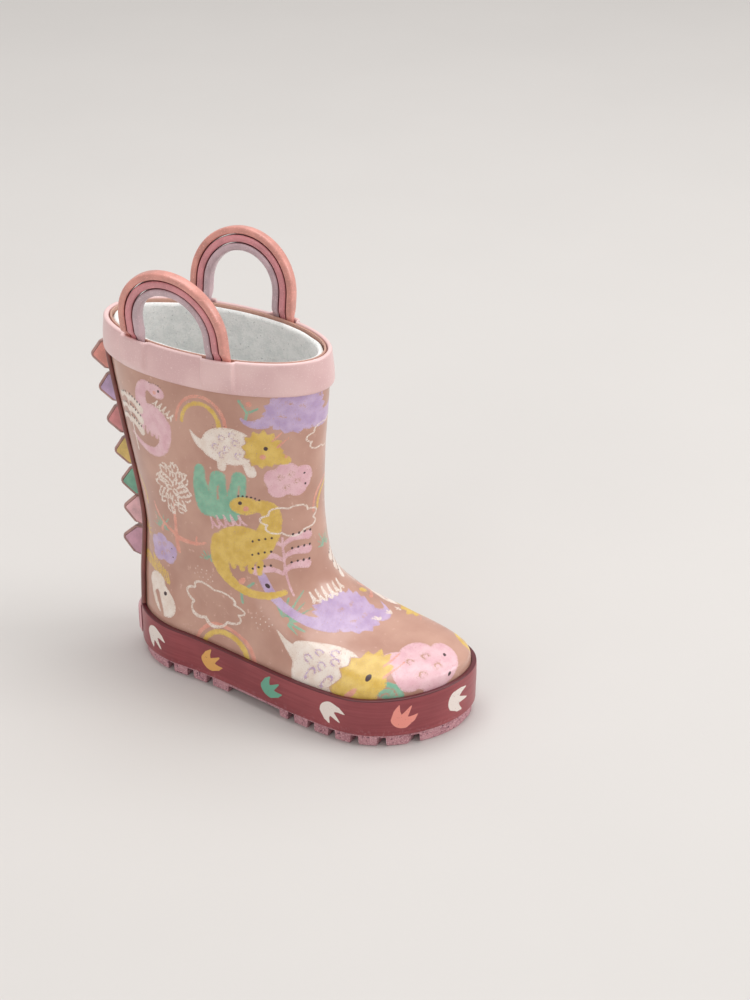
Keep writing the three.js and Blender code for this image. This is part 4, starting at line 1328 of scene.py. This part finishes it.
collar_grid, collar_numbers = collar_points()
collar_mesh = grid_mesh("pale_collar", collar_grid, wrap_rows=True, numbers=collar_numbers, sharp=50)
collar_finish = Finish("collar_rubber", roughness=0.4, coat=0.3, coat_roughness=0.16)
collar_cloud = collar_finish.noise(24, detail=3)
collar_tone = collar_cloud.ramp(0.3, 0.7).blend(colour(224, 184, 184), colour(236, 200, 198))
collar_tone = collar_finish.noise(0.7, detail=3).ramp(0.58, 0.72).blend(collar_tone, colour(242, 212, 210))
# Painted highlight: the collar's rounded top rim, its last 0.8 mm, is paler.
collar_tone = collar_finish.painted("from_foot").ramp(15.2, 16.0).blend(collar_tone, colour(240, 206, 204))
collar_finish.put("Base Color", collar_tone)
collar_finish.put("Roughness", collar_finish.noise(6) * 0.15 + 0.3)
collar_finish.emboss(collar_cloud * 0.8 + collar_finish.noise(0.6) * 0.2, 0.12)
add_piece("pale_collar", collar_mesh, collar_finish, ["top_band"])

anchor_finish = moulded_rubber("anchor_rubber_finish", (206, 166, 170), roughness=0.6, gloss=0.0)
for side_name in ("outer", "inner"):
    dress(anchor_finish, f"handle_anchor_{side_name}_front", f"handle_anchor_{side_name}_rear")

hinge_up = mouth_height + gap + rib_depth / 2
leg_height = handle_height - handle_half_span - (hinge_up - mouth_height)
leg_rows, leg_tail = 29, 2.6
laid_out, laid_thin, tuck_below, tuck_fall = 1.35, 0.42, 0.6, 5.5


def rib_points(side, number):
    """A rib's section, a rounded oblong, carried up one leg, round a half circle and down the other. Below
    the bend line each leg thins, and curves in to lie flat against the shell under the collar."""
    radius = handle_half_span - rib_width / 2 - number * rib_pitch
    turn = np.linspace(0, 2 * math.pi, 33)[:-1]
    oblong = 0.55
    width = rib_width / 2 * np.sign(np.cos(turn)) * np.abs(np.cos(turn)) ** oblong
    depth = rib_depth / 2 * np.sign(np.sin(turn)) * np.abs(np.sin(turn)) ** oblong
    drop = np.linspace(-(hinge_up - mouth_height) - leg_tail, leg_height, leg_rows + 1)[:-1]
    bend = np.linspace(0, math.pi, 72)
    fore = np.concatenate([np.full(leg_rows, radius), radius * np.cos(bend), np.full(leg_rows, -radius)])
    rise = np.concatenate([drop, leg_height + radius * np.sin(bend), drop[::-1]])
    fore_way = np.concatenate([np.ones(leg_rows), np.cos(bend), -np.ones(leg_rows)])
    rise_way = np.concatenate([np.zeros(leg_rows), np.sin(bend), np.zeros(leg_rows)])
    f = fore[:, None] + fore_way[:, None] * width[None, :]
    r = rise[:, None] + rise_way[:, None] * width[None, :]
    s = np.broadcast_to(depth[None, :], f.shape)
    lean = side * handle_lean
    x = side * handle_side + s * side * math.cos(lean) + r * math.sin(lean)
    z = hinge_up + r * math.cos(lean) - s * side * math.sin(lean)
    ahead = handle_centre + f
    free = np.stack([shaft_middle + x, heel_back - ahead, z], -1)
    tuck = 1 - smooth((z - (mouth_height - tuck_below)) / tuck_fall)
    level = np.clip(1 - (mouth_height - z) / collar_height * (1 - level_of_collar), 0.9, 1.0)
    laid = shell_out(level, side * mouth_angle(ahead), laid_out + s * laid_thin)
    laid[..., 2] += np.maximum(z - mouth_height, 0)
    legs = (rise < leg_height)[:, None, None]
    points = np.where(legs, free * (1 - tuck[..., None]) + laid * tuck[..., None], free)
    facing = np.cos(turn) if number > 0 else np.minimum(np.cos(turn), 0)
    facing = facing if number < rib_count - 1 else np.maximum(facing, 0)
    beside = np.broadcast_to(np.abs(facing)[None, :] ** oblong, f.shape).copy()
    return points, beside


def rib_rubber(name, tint, groove_shade):
    """Moulded rubber with a cloudy tone and paler flecks. The sides that face a neighbouring rib carry
    painted shade, dark maroon, for the grooves between the ribs.
    """
    rubber = Finish(name, roughness=0.36, coat=0.3, coat_roughness=0.15)
    cloud = rubber.noise(8, detail=3)
    dark = tuple(channel * 0.9 for channel in tint)
    pale = tuple(min(255, channel * 1.04 + 8) for channel in tint)
    tone = cloud.ramp(0.3, 0.7).blend(colour(*dark), colour(*tint))
    tone = rubber.noise(0.8, detail=3).ramp(0.56, 0.72).blend(tone, colour(*pale))
    beside = rubber.painted("beside")
    # Painted shade: dark maroon on the sides that face a neighbouring rib, where the grooves lie.
    tone = beside.ramp(0.88, 0.96).blend(tone, colour(*groove_shade))
    rubber.put("Base Color", tone)
    rubber.put("Roughness", cloud * 0.14 + 0.28)
    rubber.emboss(cloud + rubber.noise(0.7) * 0.2, 0.08)
    return rubber


groove_shade_tint = (128, 56, 62)
RIBS = (("outer_rib", "coral", rib_rubber("rib_coral_rubber", (230, 160, 147), groove_shade_tint)),
        ("middle_rib", "rose", rib_rubber("rib_rose_rubber", (224, 148, 153), groove_shade_tint)),
        ("inner_rib", "lilac", rib_rubber("rib_lilac_rubber", (208, 180, 186), groove_shade_tint)))
for side_name, side in (("outer", -1), ("inner", 1)):
    for number, (rib_name, tint_name, rib_finish) in enumerate(RIBS):
        points, beside = rib_points(side, number)
        name = f"{side_name}_{rib_name}"
        mesh = grid_mesh(name, points, ends=True, numbers={"beside": beside}, sharp=60)
        node = f"handle_{side_name}_{rib_name}"
        rib = add_piece(name, mesh, rib_finish, [node], body=None)
        along = (shaft_middle + side * handle_side) * MM
        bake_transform(rib)
